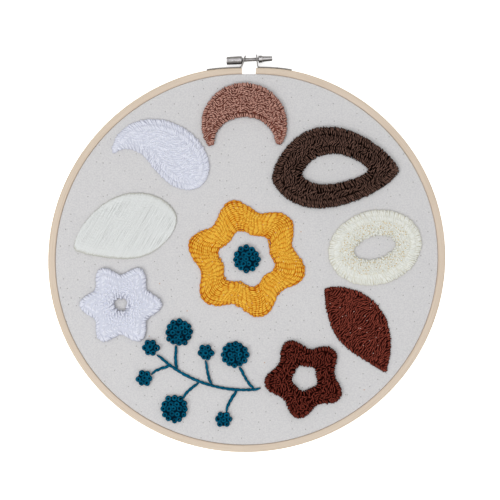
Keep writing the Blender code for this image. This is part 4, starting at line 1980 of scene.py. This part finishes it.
@dataclass(frozen=True)
class Lamp:
    """A large soft square lamp that shines at the hoop's middle."""

    name: str
    power: float
    size: float
    at: tuple[float, float, float]

    def build(self) -> None:
        """Hangs the lamp in its place and turns it towards the hoop."""
        data = bpy.data.lights.new(self.name, "AREA")
        data.energy = self.power
        data.size = self.size
        lamp = bpy.data.objects.new(self.name, data)
        lamp.location = self.at
        away = unit(np.array(self.at))
        lamp.rotation_euler = (math.acos(away[2]), 0.0, math.atan2(away[1], away[0]) + math.pi / 2)
        bpy.context.scene.collection.objects.link(lamp)


@dataclass(frozen=True)
class Studio:
    """A pale floor, soft light from above and the lower left, and a camera straight above the hoop."""

    floor_size: float = 60.0
    floor_colour: Colour = (250, 250, 250)
    floor_wash: Colour = (246, 246, 247)
    floor_glow: float = 0.65
    sky: float = 0.42
    horizon: float = 0.80
    horizon_fade: tuple[float, float] = (0.10, 0.30)
    lamps: tuple[Lamp, ...] = (
        Lamp("key", 8.0, 0.8, (-0.95, -0.75, 1.35)),
        Lamp("top", 16.0, 2.4, (0.0, 0.0, 1.7)),
    )
    camera_at: tuple[float, float, float] = (0.00264, 0.00243, 0.954)
    lens: float = 85.0
    sensor: float = 36.0

    def build(self) -> None:
        """Sets the floor, the lights and the camera."""
        self.floor()
        self.lights()
        self.camera()
        bpy.context.scene.view_settings.view_transform = "Standard"

    def floor(self) -> None:
        """A large flat square under the hoop."""
        half = self.floor_size / 2
        mesh = bpy.data.meshes.new("floor")
        corners = [(-half, -half, 0), (half, -half, 0), (half, half, 0), (-half, half, 0)]
        mesh.from_pydata(corners, [], [(0, 1, 2, 3)])
        graph = Graph("paper")
        wash = graph.spread(graph.noise(graph.place(), 1.5, 1.0), 0.3, 0.7, 0.0, 0.3)
        colour = graph.blend(wash, light_of(self.floor_colour), light_of(self.floor_wash))
        paper = graph.finish(colour, Roughness=0.9, Specular_IOR_Level=0.1, Emission_Strength=self.floor_glow)
        mesh.materials.append(paper)
        piece = bpy.data.objects.new("floor", mesh)
        bpy.context.scene.collection.objects.link(piece)

    def lights(self) -> None:
        """A white sky that is palest at the horizon, fading with the height looked at, and the lamps."""
        world = bpy.data.worlds.new("studio")
        world.use_nodes = True
        nodes, links = world.node_tree.nodes, world.node_tree.links
        way = nodes.new("ShaderNodeTexCoord")
        split = nodes.new("ShaderNodeSeparateXYZ")
        fade = nodes.new("ShaderNodeMapRange")
        links.new(way.outputs["Generated"], split.inputs["Vector"])
        links.new(split.outputs["Z"], fade.inputs["Value"])
        ends = (*self.horizon_fade, self.horizon, self.sky)
        for socket, value in zip(("From Min", "From Max", "To Min", "To Max"), ends):
            fade.inputs[socket].default_value = value
        background = nodes["Background"]
        background.inputs["Color"].default_value = (1.0, 1.0, 1.0, 1.0)
        links.new(fade.outputs["Result"], background.inputs["Strength"])
        bpy.context.scene.world = world
        for lamp in self.lamps:
            lamp.build()

    def camera(self) -> None:
        """A long lens straight above the hoop's face, with the clamp at the top of the picture."""
        data = bpy.data.cameras.new("camera")
        data.lens = self.lens
        data.sensor_width = self.sensor
        view = bpy.data.objects.new("camera", data)
        view.location = self.camera_at
        bpy.context.scene.collection.objects.link(view)
        bpy.context.scene.camera = view


def main() -> None:
    """Builds the studio, the hoop, the cloth, the clamp and the stitches."""
    logging.basicConfig(level=logging.INFO, format="%(name)s: %(message)s")
    Studio().build()
    WoodRing("outer_ring", 0.0, RING_WIDTH, RING_DEPTH, split=(-0.00384, 0.00752)).build()
    WoodRing("inner_ring", RING_WIDTH + 2 * GAP + CLOTH_THICK, 0.005, CLOTH_TOP - CLOTH_THICK - GAP).build()
    Canvas().build()
    Clasp("clasp_left", (-0.0320, -0.0052), LEFT_EAR).build()
    Clasp("clasp_right", (0.0359, 0.0098), RIGHT_EAR).build()
    ThumbScrew().build()
    Nut().build()
    rng = np.random.default_rng(SEED)
    for motif in MOTIFS:
        motif.build(rng)
    SPRIG.build(rng)
    middle = np.array([0.0, HOOP.middle_y])
    knot_piece("flower_knots", middle, FLOWER_KNOT_RINGS, SPRIG.knots, TEAL, rng)


if __name__ == "__main__":
    main()
